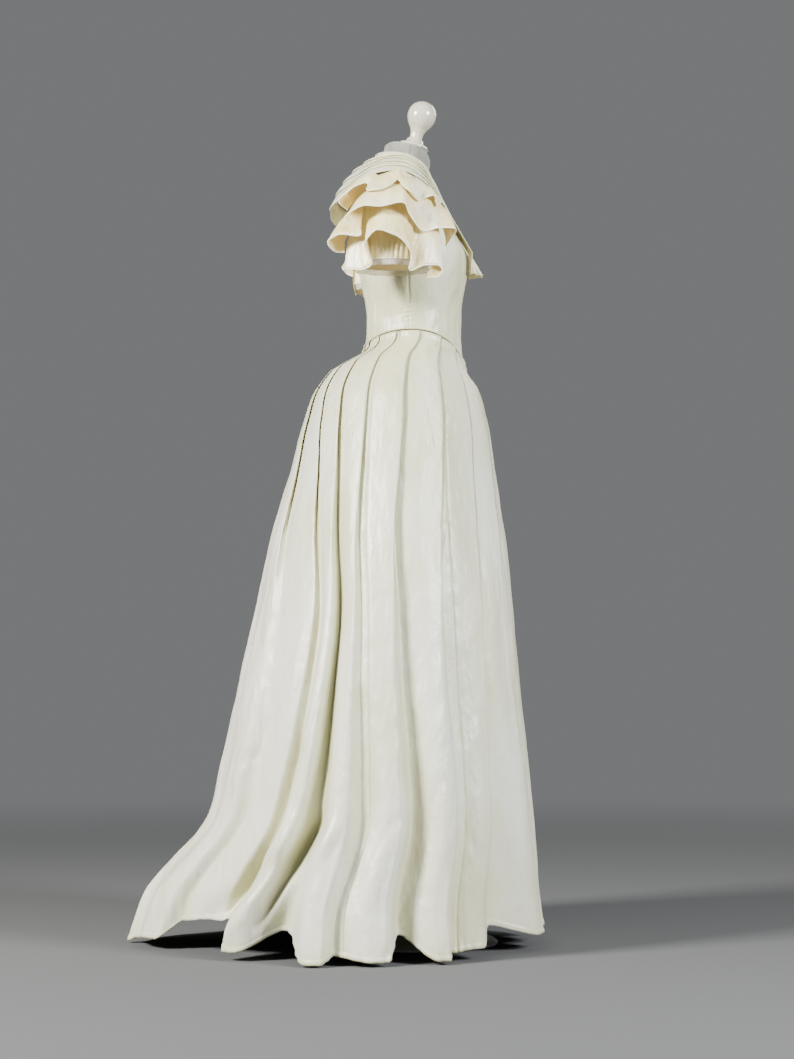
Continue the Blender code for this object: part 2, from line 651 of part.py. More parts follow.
def make_form():
    turns = np.radians(np.arange(0, 360, TORSO_STEP_DEG))
    rings = []
    for row in TORSO_ROWS:
        height = np.full_like(turns, row)
        inset = BUST_INSET * over_bust(height)[:, None]
        rings.append(torso_point(turns, height) - torso_normal(turns, height) * inset)
    top = np.stack([NECK_DOME_RADIUS * np.sin(turns), NECK_CENTRE_Y - NECK_DOME_RADIUS * np.cos(turns), 0 * turns], -1)
    top[:, 2] = NECK_TOP_Z + NECK_SLOPE * (top[:, 1] - NECK_CENTRE_Y)
    rings.append(top)
    lofted_solid("form_torso", rings, COVER)
    lean = math.atan(NECK_SLOPE)
    for name, profile in (("form_neck_cap", CAP_PROFILE), ("form_finial", FINIAL_PROFILE)):
        piece = turned(name, profile, LACQUER)
        piece.location = (0.0, NECK_CENTRE_Y, NECK_TOP_Z)
        piece.rotation_euler = (lean, 0.0, 0.0)
    foot = BASE_PROFILE[0][1] + REST_GAP
    top_of_pole = TORSO_ROWS[0] - REST_GAP
    turned(
        "form_pole",
        ((0.0, top_of_pole), (POLE_RADIUS, top_of_pole), (POLE_RADIUS, foot), (0.0, foot)),
        STEEL,
    )
    turned("form_base", BASE_PROFILE, STEEL)


def bodice_column(degrees):
    angle = math.radians(degrees)
    low = float(waist_height(angle)) + SEAM_GAP / 2
    high = float(np.interp(degrees, *np.array(BODICE_TOP, float).T))
    heights = np.linspace(low, high, BODICE_ROWS)
    angles = np.full_like(heights, angle)
    offset = form_clearance(heights) + BODICE_WALL / 2
    return torso_point(angles, heights) + torso_normal(angles, heights) * offset[:, None]


def bodice_panel(name, start, end, side):
    columns = [bodice_column(d) for d in range(start, end + 1, TORSO_STEP_DEG)]
    columns = [c * np.array((side, 1, 1)) for c in columns]
    cloth(name, np.stack(pull_back(columns, SEAM_GAP / 2), 1), BODICE_WALL, SATIN)


def make_bodice():
    front, side_seam, back = BODICE_SEAMS_DEG
    turns = range(-front, front + 1, TORSO_STEP_DEG)
    columns = [bodice_column(abs(d)) * np.array((-1 if d < 0 else 1, 1, 1)) for d in turns]
    cloth("bodice_front", np.stack(pull_back(columns, SEAM_GAP / 2), 1), BODICE_WALL, SATIN)
    for side, end in ((1, "left"), (-1, "right")):
        bodice_panel(f"bodice_side_front_{end}", front, side_seam, side)
        bodice_panel(f"bodice_side_back_{end}", side_seam, back, side)
        bodice_panel(f"bodice_back_{end}", back, 180, side)


def make_piping():
    """The corded piping that covers the waist seam, as four sides round the cord's centre line."""
    turns = np.radians(np.arange(0, 360, TORSO_STEP_DEG))
    centre_off = FORM_CLEARANCE + BODICE_WALL + REST_GAP + PIPING_RADIUS
    rings = []
    for around in (0, 90, 180, 270):
        height = waist_height(turns) + PIPING_RADIUS + 2 * SEAM_GAP + PIPING_RADIUS * math.sin(math.radians(around))
        off = centre_off + PIPING_RADIUS * math.cos(math.radians(around))
        rings.append(torso_point(turns, height) + torso_normal(turns, height) * off)
    shape = bmesh.new()
    corners = [[shape.verts.new(p) for p in ring] for ring in rings]
    count = len(turns)
    for r in range(len(rings)):
        low, high = corners[r], corners[(r + 1) % len(rings)]
        for c in range(count):
            n = (c + 1) % count
            shape.faces.new((low[c], low[n], high[n], high[c]))
    bmesh.ops.recalc_face_normals(shape, faces=shape.faces)
    mesh = bpy.data.meshes.new("waist_piping")
    shape.to_mesh(mesh)
    shape.free()
    add_object("waist_piping", mesh, SATIN)


def skirt_panel(name, first, last, side):
    columns = pull_back(skirt_columns(first, last, side), SKIRT_SEAM_PULL)
    cloth(name, np.stack(columns, 1), SKIRT_WALL, SATIN)


def make_skirt():
    front, middle, back = ((fold, SEAM_STATION) for fold in SKIRT_SEAM_FOLDS)
    right = skirt_columns((0, 0), front, -1)
    left = skirt_columns((0, 0), front, 1)
    columns = pull_back(list(reversed(right)) + left[1:], SKIRT_SEAM_PULL)
    cloth("skirt_front", np.stack(columns, 1), SKIRT_WALL, SATIN)
    for side, end in ((1, "left"), (-1, "right")):
        skirt_panel(f"skirt_side_front_{end}", front, middle, side)
        skirt_panel(f"skirt_side_back_{end}", middle, back, side)
    last = (len(FOLDS) - 2, len(FOLD_STATIONS) - 1)
    centre_back = skirt_point(len(FOLDS) - 2, 1.0, np.array(SKIRT_ROWS), 1)
    right = skirt_columns(back, last, -1)
    left = skirt_columns(back, last, 1)
    columns = pull_back(right + [centre_back] + list(reversed(left)), SKIRT_SEAM_PULL)
    cloth("skirt_back", np.stack(columns, 1), SKIRT_WALL, SATIN)


def make_sleeves():
    turns = np.radians(np.arange(0, 360, SLEEVE_STEP_DEG))
    for side, end in ((1, "left"), (-1, "right")):
        mirror = np.array((side, 1, 1))
        tube = np.array([sleeve_point(turns, t) for t in SLEEVE_ROWS])
        cloth(f"sleeve_{end}", tube * mirror, SLEEVE_WALL, RUFFLE_SATIN, closed=True)
        outer_turns = np.radians(np.arange(-SLEEVE_OUTSIDE_DEG, SLEEVE_OUTSIDE_DEG + 1, 3))
        layers = [np.array([sleeve_point(outer_turns, t) for t in np.linspace(0, 1, 41)])]
        for name, rows in RUFFLES.items():
            sewn = ruffle_points(name, np.radians(halved([row[0] for row in rows])), RUFFLE_ROWS, side)
            points = np.concatenate([sewn[:1], lay_over(sewn[1:], layers)])
            cloth(f"{name}_{end}", points * mirror, RUFFLE_WALL, RUFFLE_SATIN)
            layers.append(thicken_grid(points))
        net_turns = np.radians(np.arange(0, 360, 360 / (4 * NET_WAVES)))
        cloth(f"sleeve_net_{end}", net_points(net_turns) * mirror, NET_WALL, TULLE, closed=True)


def make_collar():
    left = collar_points(np.linspace(0, 1, COLLAR_COLUMNS_ALONG))
    left = np.concatenate([left, tail_points(left[:, -1])], 1)
    right = left[:, :0:-1] * np.array((-1, 1, 1))
    cloth("collar", np.concatenate([right, left], 1), COLLAR_WALL, SATIN)


for old in list(bpy.data.objects):
    bpy.data.objects.remove(old)
parts = bpy.data.collections.new("wedding_dress")
bpy.context.scene.collection.children.link(parts)
make_form()
make_bodice()
make_piping()
make_skirt()
make_sleeves()
make_collar()
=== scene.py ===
"""Dressed wedding dress on its form: fine cloth, sewing, materials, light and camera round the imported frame.

Lengths are metres and +Z is up. The dress faces -Y. A side is +1 for the wearer's left (+X), -1 for right.
The tables are those of the part's source, and each piece of cloth is read from them at finer steps.
"""

import math

import bmesh
import bpy
import numpy as np
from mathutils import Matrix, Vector


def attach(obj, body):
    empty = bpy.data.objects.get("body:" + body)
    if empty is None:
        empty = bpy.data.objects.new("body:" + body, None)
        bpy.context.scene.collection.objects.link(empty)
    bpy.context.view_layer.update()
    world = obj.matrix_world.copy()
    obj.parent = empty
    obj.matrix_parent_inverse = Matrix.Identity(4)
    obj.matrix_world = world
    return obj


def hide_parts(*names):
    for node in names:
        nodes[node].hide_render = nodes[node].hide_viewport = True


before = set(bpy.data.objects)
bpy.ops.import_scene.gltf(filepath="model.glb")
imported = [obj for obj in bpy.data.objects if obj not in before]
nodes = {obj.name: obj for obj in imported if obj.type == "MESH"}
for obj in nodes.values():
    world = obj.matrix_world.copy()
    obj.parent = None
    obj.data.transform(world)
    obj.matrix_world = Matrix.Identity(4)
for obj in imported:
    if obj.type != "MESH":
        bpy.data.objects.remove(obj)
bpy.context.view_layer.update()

# Camera: place, target, lens and width of the frame in mm
CAMERA_PLACE = (-4.993, 0.030, 0.558)
CAMERA_TARGET = (0.0, 0.030, 0.820)
CAMERA_LENS = 85.0
CAMERA_FRAME = 36.0

# Studio: background, floor size and tone, where the floor fades away, and the lights
BACKGROUND = (0.60, 0.61, 0.62)
BACKGROUND_STRENGTH = 0.305
FLOOR_HALF = 30.0
FLOOR_NEAR = (0.112, 0.114, 0.116)
FLOOR_FADES = (1.2, 5.5)
LIGHTS = (  # name, place, target, size, power, colour
    ("key", (-2.5, 3.3, 2.8), (0, 0.05, 0.8), 1.0, 700, (1.0, 0.98, 0.94)),
    ("fill", (-2.6, -3.1, 2.4), (0, 0.05, 0.8), 1.2, 390, (0.97, 0.985, 1.0)),
    ("rim", (2.6, -1.8, 3.0), (0, 0.05, 0.9), 1.6, 40, (1.0, 0.99, 0.96)),
)
SIDES = ((1, "left"), (-1, "right"))

# Stand-off of the cloth's solids from the form and from one another, and how thick each cloth is here
FORM_CLEARANCE = 0.0011
BUST_CLEARANCE = 0.0022
BUST_INSET = 0.0022
BUST_HEIGHTS = (1.255, 1.300, 1.420, 1.450)
BODICE_WALL = 0.0016
SEAM_GAP = 0.0004
REST_GAP = 0.0003
SATIN_THICKNESS = 0.0008
RUFFLE_THICKNESS = 0.0007
NET_THICKNESS = 0.0004

# Dress form
TORSO_COLUMNS = ("height", "half_width", "front", "back")
TORSO = (
    (0.93, 0.16, 0.1, 0.108),
    (0.97, 0.169, 0.108, 0.115),
    (1.02, 0.172, 0.111, 0.117),
    (1.08, 0.162, 0.108, 0.111),
    (1.14, 0.143, 0.102, 0.0995),
    (1.19, 0.128, 0.097, 0.09),
    (1.235, 0.122, 0.0962, 0.0885),
    (1.27, 0.1275, 0.0972, 0.0895),
    (1.306, 0.14, 0.102, 0.0955),
    (1.335, 0.1495, 0.1068, 0.1),
    (1.366, 0.156, 0.1045, 0.1025),
    (1.4, 0.16, 0.092, 0.1028),
    (1.43, 0.1632, 0.0765, 0.0998),
    (1.456, 0.167, 0.062, 0.0955),
    (1.478, 0.1715, 0.051, 0.088),
    (1.497, 0.166, 0.042, 0.08),
    (1.512, 0.14, 0.035, 0.072),
    (1.527, 0.102, 0.032, 0.065),
    (1.541, 0.072, 0.0335, 0.06),
    (1.556, 0.055, 0.036, 0.0575),
    (1.572, 0.053, 0.036, 0.056),
    (1.581, 0.048, 0.033, 0.052),
    (1.587, 0.041, 0.029, 0.044),
)
TORSO_LOW, TORSO_HIGH = 0.93, 1.587
TORSO_ROWS = 190
COVER_SEAM_DEG = 84.0
COVER_SEAM_STAND = 0.0001
COVER_SEAM_RADIUS = 0.0006
NECK_TILT_FROM = 1.535
NECK_TILT_FULL = 1.585
NECK_SLOPE = 0.27
NECK_CENTRE_Y = -0.003
NECK_TOP_Z = 1.592
NECK_DOME_RADIUS = 0.031
FINIAL_PROFILE = (
    (0.0, 0.095), (0.009, 0.0935), (0.0185, 0.0885), (0.0255, 0.08), (0.0285, 0.069),
    (0.028, 0.059), (0.0235, 0.047), (0.0165, 0.0365), (0.0128, 0.0265), (0.0128, 0.0163), (0.0, 0.0163),
)
CAP_PROFILE = (
    (0.0, 0.016), (0.015, 0.016), (0.019, 0.0085), (0.029, 0.0022), (0.029, 0.0003), (0.0, 0.0003),
)

# Bodice
WAIST_COLUMNS = ("angle_deg", "height")
WAIST = (
    (0, 1.145), (20, 1.156), (45, 1.183), (75, 1.201),
    (100, 1.204), (130, 1.198), (160, 1.186), (180, 1.18),
)
BODICE_TOP_COLUMNS = ("angle_deg", "height")
BODICE_TOP = (
    (0, 1.392), (12, 1.424), (24, 1.436), (36, 1.438), (48, 1.436), (60, 1.422), (72, 1.38), (84, 1.348),
    (96, 1.34), (108, 1.348), (120, 1.366), (132, 1.418), (144, 1.434), (156, 1.434), (168, 1.428),
    (180, 1.422),
)
BODICE_SEAMS_DEG = (24, 96, 144)
PIPING_RADIUS = 0.0019
SEAM_DIP = 0.0015
SEAM_DIP_WIDTH = 0.0024
SEAM_PULL = 0.00035
SEAM_PULL_REACH = 0.01
DART_DEG = 53
DART_WIDTH_DEG = 1.1
DART_DEPTH = 0.0005
DART_TOP = 1.3
DART_FADE = 0.05
BODICE_SWELL = 0.0005
BODICE_CREASE_MOST = 0.0002

# Skirt
SKIRT_COLUMNS = ("height", "half_width", "front", "back", "back_roundness")
SKIRT = (
    (0.0, 0.392, 0.262, 0.562, 1.3),
    (0.04, 0.388, 0.256, 0.55, 1.34),
    (0.11, 0.381, 0.248, 0.522, 1.42),
    (0.17, 0.375, 0.243, 0.47, 1.6),
    (0.23, 0.369, 0.238, 0.414, 1.85),
    (0.35, 0.356, 0.228, 0.378, 1.95),
    (0.5, 0.337, 0.214, 0.347, 2.0),
    (0.66, 0.314, 0.198, 0.308, 2.0),
    (0.8, 0.29, 0.183, 0.282, 2.0),
    (0.94, 0.258, 0.163, 0.24, 2.0),
    (1.03, 0.232, 0.15, 0.216, 2.0),
    (1.1, 0.205, 0.131, 0.19, 2.0),
    (1.145, 0.178, 0.112, 0.154, 2.0),
    (1.175, 0.152, 0.105, 0.124, 2.0),
    (1.205, 0.128, 0.101, 0.096, 2.0),
)
WAIST_OFFSET = 0.0052
WAIST_EASE = 0.055
FOLD_COLUMNS = (
    "waist_deg", "middle_deg", "hem_deg", "crest", "hollow", "crest_hem", "hollow_hem", "tuck",
    "left_turn_deg",
)
FOLDS = (
    (0, 0, 0, 0.004, 0.008, 0.036, 0.04, 0.08, 0),
    (11, 24, 14, 0.008, 0.034, 0.03, 0.056, 0.1, 1),
    (36, 44, 50, 0.01, 0.006, 0.022, 0.016, 0.11, -2),
    (58, 65, 61, 0.03, 0.028, 0.007, 0.052, 0.1, 2),
    (84, 86, 77, 0.024, 0.004, 0.008, 0.018, 0.07, -1),
    (110, 102, 97, 0.034, 0.036, 0.004, 0.056, 0.1, 2),
    (133, 110, 125, 0.032, 0.034, 0.016, 0.07, 0.11, -2),
    (151, 122, 135, -0.012, 0.02, 0.066, 0.058, 0.09, 0),
    (165, 146, 154, 0.008, 0.01, 0.02, 0.012, -0.35, 0),
    (180, 180, 180, 0.004, 0.0, 0.004, 0.004, 0.0, 0),
)
PLEAT_CREST = 0.0026
PLEAT_HOLLOW = 0.0015
FOLD_GROWTH = 1.35
HOLLOW_AT = 0.6
HEM_HOLLOW_AT = 0.66
PANEL_FLAT = 0.22
TURN_STEEP = 0.86
SOFT_FROM = 0.14
SOFT_FULL = 0.8
SEAM_AT = 0.45
SKIRT_SEAM_FOLDS = (2, 4, 6)
TUCK_AT_WAIST = 0.1
CREASE_SHARE = 0.3
WANDER_DEG = 0.8
RIPPLE = 0.0035
PUCKER = 0.0015
HEM_PUCKERS = (0.021, 0.012)  # their pitch and how far up they reach
WAIST_PUCKERS = (0.011, 0.02)
HEM_DEPTH = 0.01
HEM_STEP = 0.0009
STITCH_LENGTH = 0.0024
STITCH_PITCH = 0.0036
STITCH_RADIUS = 0.0003
STITCH_SIDES = 5

# Sleeves
ARMHOLE_Y = 0.018
ARMHOLE_Z = 1.42
ARMHOLE_DEPTH = 0.05
ARMHOLE_HEIGHT = 0.071
SLEEVE_BOXING = 0.7
SLEEVE_OFFSET = 0.0076
SLEEVE_AXIS = (0.165, 0.036)
SLEEVE_TURN = ((0.215, 0.03, 1.436), 0.045, 0.088, 0.072)
SLEEVE_HEM = ((0.205, 0.04, 1.322), 0.05, 0.078, 0.004)
GATHERS = 46
GATHER_DEPTH = 0.0014
RUFFLE_GATHER_DEPTH = 0.0007
RUFFLE_COLUMNS = ("root_deg", "hem_x", "hem_y", "hem_z")
RUFFLES = {
    "ruffle_low": (
        (-92, 0.214, 0.128, 1.303), (-80, 0.23, 0.127, 1.309), (-64, 0.248, 0.095, 1.305),
        (-52, 0.256, 0.078, 1.315), (-42, 0.268, 0.085, 1.334), (-31, 0.28, 0.091, 1.349),
        (-17, 0.292, 0.072, 1.372), (-2, 0.294, 0.045, 1.368), (12, 0.286, 0.015, 1.351),
        (21, 0.274, 0.002, 1.327), (29, 0.266, 0.007, 1.303), (44, 0.262, -0.023, 1.311),
        (58, 0.252, -0.052, 1.311), (67, 0.246, -0.058, 1.301), (75, 0.244, -0.047, 1.291),
        (84, 0.248, -0.026, 1.289),
    ),
    "ruffle_middle": (
        (-92, 0.22, 0.126, 1.342), (-84, 0.23, 0.15, 1.343), (-77, 0.242, 0.163, 1.357),
        (-67, 0.256, 0.142, 1.37), (-52, 0.262, 0.1, 1.368), (-43, 0.268, 0.102, 1.381),
        (-34, 0.282, 0.126, 1.398), (-22, 0.292, 0.102, 1.417), (-4, 0.296, 0.06, 1.418),
        (11, 0.29, 0.015, 1.424), (19, 0.28, 0.006, 1.406), (30, 0.266, -0.015, 1.379),
        (48, 0.254, -0.049, 1.384), (64, 0.238, -0.082, 1.384), (76, 0.226, -0.075, 1.37),
        (90, 0.212, -0.064, 1.356),
    ),
    "ruffle_top": (
        (-78, 0.216, 0.116, 1.424), (-70, 0.226, 0.131, 1.428), (-62, 0.236, 0.142, 1.44),
        (-52, 0.244, 0.115, 1.463), (-42, 0.24, 0.088, 1.473), (-35, 0.254, 0.082, 1.456),
        (-24, 0.264, 0.068, 1.452), (-9, 0.262, 0.042, 1.465), (1, 0.256, 0.028, 1.477),
        (12, 0.256, 0.015, 1.455), (25, 0.254, -0.008, 1.437), (37, 0.248, -0.025, 1.444),
        (47, 0.24, -0.041, 1.449), (55, 0.233, -0.0445, 1.442), (63, 0.228, -0.038, 1.433),
        (72, 0.222, -0.03, 1.43),
    ),
}
RUFFLE_ROOTS = {"ruffle_low": 0.62, "ruffle_middle": 0.36, "ruffle_top": 0.1}
RUFFLE_BULGES = {"ruffle_low": 0.012, "ruffle_middle": 0.012, "ruffle_top": 0.008}
RUFFLE_RISES = {"ruffle_low": 0.004, "ruffle_middle": 0.01, "ruffle_top": 0.036}
RISE_EASES_DEG = (0, 45)
RISE_AT_FRONT = 0.25
LEFT_BACK_REACH = 0.88
LEFT_BACK_SHIFT = (0.6, -1.2, 2.0)
LEFT_HEM_LIFT = 0.024
RUFFLE_STAND_OFF = 0.0017
LAYER_GAP = 0.0036
LAYER_WINDOW_DEG = 4.0
LAYER_WINDOW_Z = 0.006
RUFFLE_HEM_RADIUS = 0.0014
NET_DROP = 0.012
NET_FLARE = -0.005
NET_WAVES = 9
NET_WAVE_DEPTH = 0.003

# Collar
COLLAR_COLUMNS = ("neck_deg", "neck_height", "edge_x", "edge_y", "edge_z", "bulge")
COLLAR = (
    (180, 1.562, 0.0, 0.16, 1.458, 1.0),
    (150, 1.563, 0.072, 0.16, 1.452, 1.0),
    (122, 1.563, 0.138, 0.146, 1.454, 1.0),
    (98, 1.56, 0.19, 0.1, 1.488, 0.8),
    (74, 1.551, 0.206, 0.035, 1.502, 0.5),
    (34, 1.526, 0.188, -0.012, 1.49, 0.3),
    (19, 1.49, 0.146, -0.046, 1.464, 0.2),
    (12, 1.44, 0.094, -0.08, 1.424, 0.1),
    (5, 1.393, 0.032, -0.119, 1.372, 0.0),
)
COLLAR_INSIDE = (0.0, 0.0, 1.3)
COLLAR_BULGE = 0.018
COLLAR_PLEATS = 5
COLLAR_PLEAT_HEIGHT = 0.0038
COLLAR_PLEAT = ((0.12, 0.12), (0.3, 0.3), (0.5, 0.55), (0.7, 0.78), (0.86, 0.94), (0.95, 1.0), (1.0, 0.92))
COLLAR_ROLL_AT = 0.05
COLLAR_ROLL = 0.006
COLLAR_EDGE_RADIUS = 0.0012
COLLAR_SEAT = 0.0051
COLLAR_FULL_WIDTH = 0.10
COLLAR_TUCK_UNDER = 0.10
TAIL_HEM_INNER = (0.004, -0.144, 1.328)
TAIL_HEM_OUTER = (0.044, -0.113, 1.330)
TAIL_WAVES = 2.5
TAIL_WAVE_DEPTH = 0.005

# Folds that the train drags over the wearer's right side, as lines in the side view
DRAG_COLUMNS = ("from_y", "from_z", "to_y", "to_z", "width", "depth")
DRAGS = (
    (0.165, 0.275, 0.300, 0.062, 0.015, 0.024),
    (0.250, 0.200, 0.400, 0.050, 0.020, 0.016),
    (0.200, 0.420, 0.225, 0.250, 0.014, 0.007),
)

# Painted shade of satin inside its folds: how near the folds are, how strong, and the shade's tone
PAINTED_FOLD_SHADE_REACH = 0.05
PAINTED_FOLD_SHADE = 0.48
PAINTED_FOLD_SHADE_TONE = (0.74, 0.70, 0.58)

# Satin's painted shade higher up, its colour pushed towards the shade tone: heights where it starts and ends,
# and how strong. Pitch of the warp and of net
HIGH_PAINTED_SHADE_HEIGHTS = (0.55, 1.20)
HIGH_PAINTED_SHADE = 0.10
SATIN_PITCH = 0.0007
NET_PER_METRE = 700.0
NET_THREAD = 0.26

# Creases of the hung cloth: width of their swells, depth, stretch along x, y and z, and seed
SKIRT_CREASES = (0.085, 0.0026, (1.0, 1.0, 0.30), 5)
SKIRT_FINE_CREASES = (0.034, 0.0008, (1.0, 1.0, 0.55), 6)
BODICE_CREASES = (0.034, 0.0009, (1.0, 1.0, 1.0), 7)
RUFFLE_CREASES = (0.022, 0.0014, (1.0, 1.0, 0.6), 8)

draw = np.random.RandomState(11)
last_row = len(FOLDS) - 1
fold_draws = {  # of each side: how free a fold is, the phase of its wander, its ripple and the ripple's phase
    side: [
        (float(0 < i < last_row), draw.uniform(0, 1), draw.uniform(0.5, 1.3), draw.uniform(0, 1))
        for i in range(len(FOLDS))
    ]
    for side, _ in SIDES
}


def curve_through(xs, ys, x):
    """A smooth curve through rows, as cubic pieces whose slopes are the mean of their neighbours."""
    xs = np.asarray(xs, float)
    ys = np.asarray(ys, float)
    x = np.clip(np.asarray(x, float), xs[0], xs[-1])
    steps = np.diff(xs)
    chords = np.diff(ys) / steps
    slopes = np.empty_like(ys)
    slopes[1:-1] = (chords[:-1] * steps[1:] + chords[1:] * steps[:-1]) / (steps[1:] + steps[:-1])
    slopes[0] = chords[0]
    slopes[-1] = chords[-1]
    i = np.clip(np.searchsorted(xs, x, side="right") - 1, 0, len(xs) - 2)
    h = steps[i]
    u = (x - xs[i]) / h
    start = (1 + 2 * u) * (1 - u) ** 2 * ys[i] + u * (1 - u) ** 2 * h * slopes[i]
    end = u**2 * (3 - 2 * u) * ys[i + 1] + u**2 * (u - 1) * h * slopes[i + 1]
    return start + end


def column(table, names, name, key, at):
    """One named column of a table, read smoothly at a value of its key column."""
    rows = np.array(table, float)
    return curve_through(rows[:, names.index(key)], rows[:, names.index(name)], at)


def smooth_step(low, high, x):
    u = np.clip((x - low) / (high - low), 0, 1)
    return u * u * (3 - 2 * u)


def unit(vectors):
    return vectors / np.maximum(np.linalg.norm(vectors, axis=-1, keepdims=True), 1e-12)


def mirrored(side):
    """Turns the left side's points into those of a side."""
    return np.array((side, 1, 1))


def slope(curve, at, small=1e-3):
    """How far a curve's points move over a small step each way."""
    return curve(at + small) - curve(at - small)


def bell(x):
    """1 at 0, falling smoothly away on both sides."""
    return np.exp(-(x**2))


def torso_size(height):
    """Half width, centre and half depth of the form at a height."""
    half_width, front, back = (column(TORSO, TORSO_COLUMNS, n, "height", height) for n in TORSO_COLUMNS[1:])
    return half_width, (back - front) / 2, (back + front) / 2

def torso_point(angle, height):
    """A point of the form. The angle is 0 at the centre front, 90 degrees at the side and 180 at the back."""
    half_width, centre, depth = torso_size(height)
    tilt = smooth_step(NECK_TILT_FROM, NECK_TILT_FULL, height) * NECK_SLOPE
    x = half_width * np.sin(angle)
    y = centre - depth * np.cos(angle)
    return np.stack([x, y, height + tilt * (y - NECK_CENTRE_Y) + 0 * x], -1)


def torso_normal(angle, height):
    along = slope(lambda at: torso_point(at, height), angle, 1e-4)
    up = slope(lambda at: torso_point(angle, at), height, 1e-4)
    return unit(np.cross(along, up))


def off_torso(angle, height, off):
    """A point this far out from the form."""
    return torso_point(angle, height) + torso_normal(angle, height) * off


def over_bust(height):
    """1 over the bust and 0 above and below it."""
    low, full, from_here, high = BUST_HEIGHTS
    return smooth_step(low, full, height) * (1 - smooth_step(from_here, high, height))


def form_clearance(height):
    return FORM_CLEARANCE + BUST_CLEARANCE * over_bust(height)


def waist_height(angle):
    degrees = np.degrees(np.abs(angle))
    degrees = np.where(degrees > 180, 360 - degrees, degrees)
    return column(WAIST, WAIST_COLUMNS, "height", "angle_deg", degrees)


def waist_point(angle):
    return off_torso(angle, waist_height(angle), WAIST_OFFSET)


def skirt_outline(angle, height):
    """The hung skirt's outline, before its pleats: a squashed oval whose back half draws out to the train."""
    size = {n: column(SKIRT, SKIRT_COLUMNS, n, "height", height) for n in SKIRT_COLUMNS[1:]}
    centre = (size["back"] - size["front"]) / 2
    depth = (size["back"] + size["front"]) / 2
    toward_back = np.cos(angle) < 0
    power = np.where(toward_back, 2 / size["back_roundness"], 1.0)
    x = size["half_width"] * np.sign(np.sin(angle)) * np.abs(np.sin(angle)) ** power
    y = centre - depth * np.sign(np.cos(angle)) * np.abs(np.cos(angle)) ** power
    return np.stack([x, y], -1)


def skirt_ease(angle, height):
    """The outline, eased into the waist seam over the first few centimetres."""
    seam = waist_point(angle)
    drop = waist_height(angle) - height
    weight = smooth_step(0.0, WAIST_EASE, drop)[..., None]
    return skirt_outline(angle, height) * weight + seam[..., :2] * (1 - weight)


def fold_row(index, side):
    """One row of the fold table, with its angles turned a little on the left side, and its random draws."""
    row = dict(zip(FOLD_COLUMNS, FOLDS[index]))
    if side > 0:
        row["middle_deg"] += row["left_turn_deg"] / 2
        row["hem_deg"] += row["left_turn_deg"]
    row["wander"] = fold_draws[side][index]
    return row


def fold_angle(row, down):
    turn = curve_through((0, 0.5, 1), (row["waist_deg"], row["middle_deg"], row["hem_deg"]), down)
    free, phase, _, _ = row["wander"]
    return np.radians(turn + WANDER_DEG * free * np.sin(np.pi * down) * np.sin(2 * np.pi * (down + phase)))


def skirt_point(index, station, down, side):
    """The middle of the skirt's cloth. Station is 0 to 1 from a fold to the next, down is 0 to 1 to the hem."""
    station, down = np.broadcast_arrays(np.asarray(station, float), np.asarray(down, float))
    this, following = fold_row(index, side), fold_row(index + 1, side)
    start, end = fold_angle(this, down), fold_angle(following, down)
    on_panel = station <= HOLLOW_AT
    panel = np.clip(station / HOLLOW_AT, 0, 1)
    turn = np.clip((station - HOLLOW_AT) / (1 - HOLLOW_AT), 0, 1)
    tuck = this["tuck"] + (TUCK_AT_WAIST * (1 - smooth_step(0.1, 0.5, down)) if this["tuck"] > 0 else 0)
    crisp_place = np.where(on_panel, (1 + tuck) * panel, 1 + tuck * (1 - turn))
    soft_place = np.where(on_panel, HEM_HOLLOW_AT * panel, HEM_HOLLOW_AT + (1 - HEM_HOLLOW_AT) * turn)
    crisp_sink = np.where(on_panel, panel, 1 - turn)
    round_sink = np.where(on_panel, smooth_step(PANEL_FLAT, 1, panel), 1 - smooth_step(0, TURN_STEEP, turn))
    soft_sink = round_sink + CREASE_SHARE * (1 - down) * (crisp_sink - round_sink)
    soft = smooth_step(SOFT_FROM, SOFT_FULL, down)
    place = crisp_place * (1 - soft) + soft_place * soft
    sink = crisp_sink * (1 - soft) + soft_sink * soft
    angle = start + (end - start) * place
    crest = np.where(on_panel, this["crest"], following["crest"])
    grown = down**FOLD_GROWTH
    crest = PLEAT_CREST + (crest - PLEAT_CREST) * grown
    hollow = PLEAT_HOLLOW + (this["hollow"] - PLEAT_HOLLOW) * grown
    free, _, ripple, ripple_phase = this["wander"]
    wave = np.sin(2 * np.pi * panel) * (1 - turn) * np.sin(2 * np.pi * (1.4 * down + ripple_phase))
    reach = crest - (crest + hollow) * sink + RIPPLE * ripple * free * smooth_step(0.12, 0.6, down) * wave
    crest_hem = np.where(on_panel, this["crest_hem"], following["crest_hem"])
    hem = crest_hem + (this["hollow_hem"] - crest_hem) * round_sink
    top = waist_height(angle) - SEAM_GAP / 2
    height = top + (hem - top) * down
    flat = skirt_ease(angle, height)
    tangent = unit(slope(lambda at: skirt_ease(at, height), angle))
    outward = np.stack([tangent[..., 1], -tangent[..., 0]], -1)
    flat = flat + outward * reach[..., None]
    return np.stack([side * flat[..., 0], flat[..., 1], height], -1)


def boxed(cosine):
    return np.sign(cosine) * np.abs(cosine) ** SLEEVE_BOXING


def armhole_point(around):
    y = ARMHOLE_Y - ARMHOLE_DEPTH * np.sin(around)
    z = ARMHOLE_Z + ARMHOLE_HEIGHT * boxed(np.cos(around))
    half_width, centre, depth = torso_size(z)
    x = half_width * np.sqrt(np.clip(1 - ((y - centre) / depth) ** 2, 0, 1)) + SLEEVE_OFFSET
    return np.stack([x, y, z], -1)


def sleeve_ring(ring, around):
    (x, y, z), outward, forward, upward = ring
    places = (x + outward * np.cos(around), y - forward * np.sin(around), z + upward * boxed(np.cos(around)))
    return np.stack(places, -1)


def bent(start, middle, end, t):
    """A curve from start to end that leans towards a middle point."""
    return (1 - t) ** 2 * start + 2 * t * (1 - t) * middle + t**2 * end


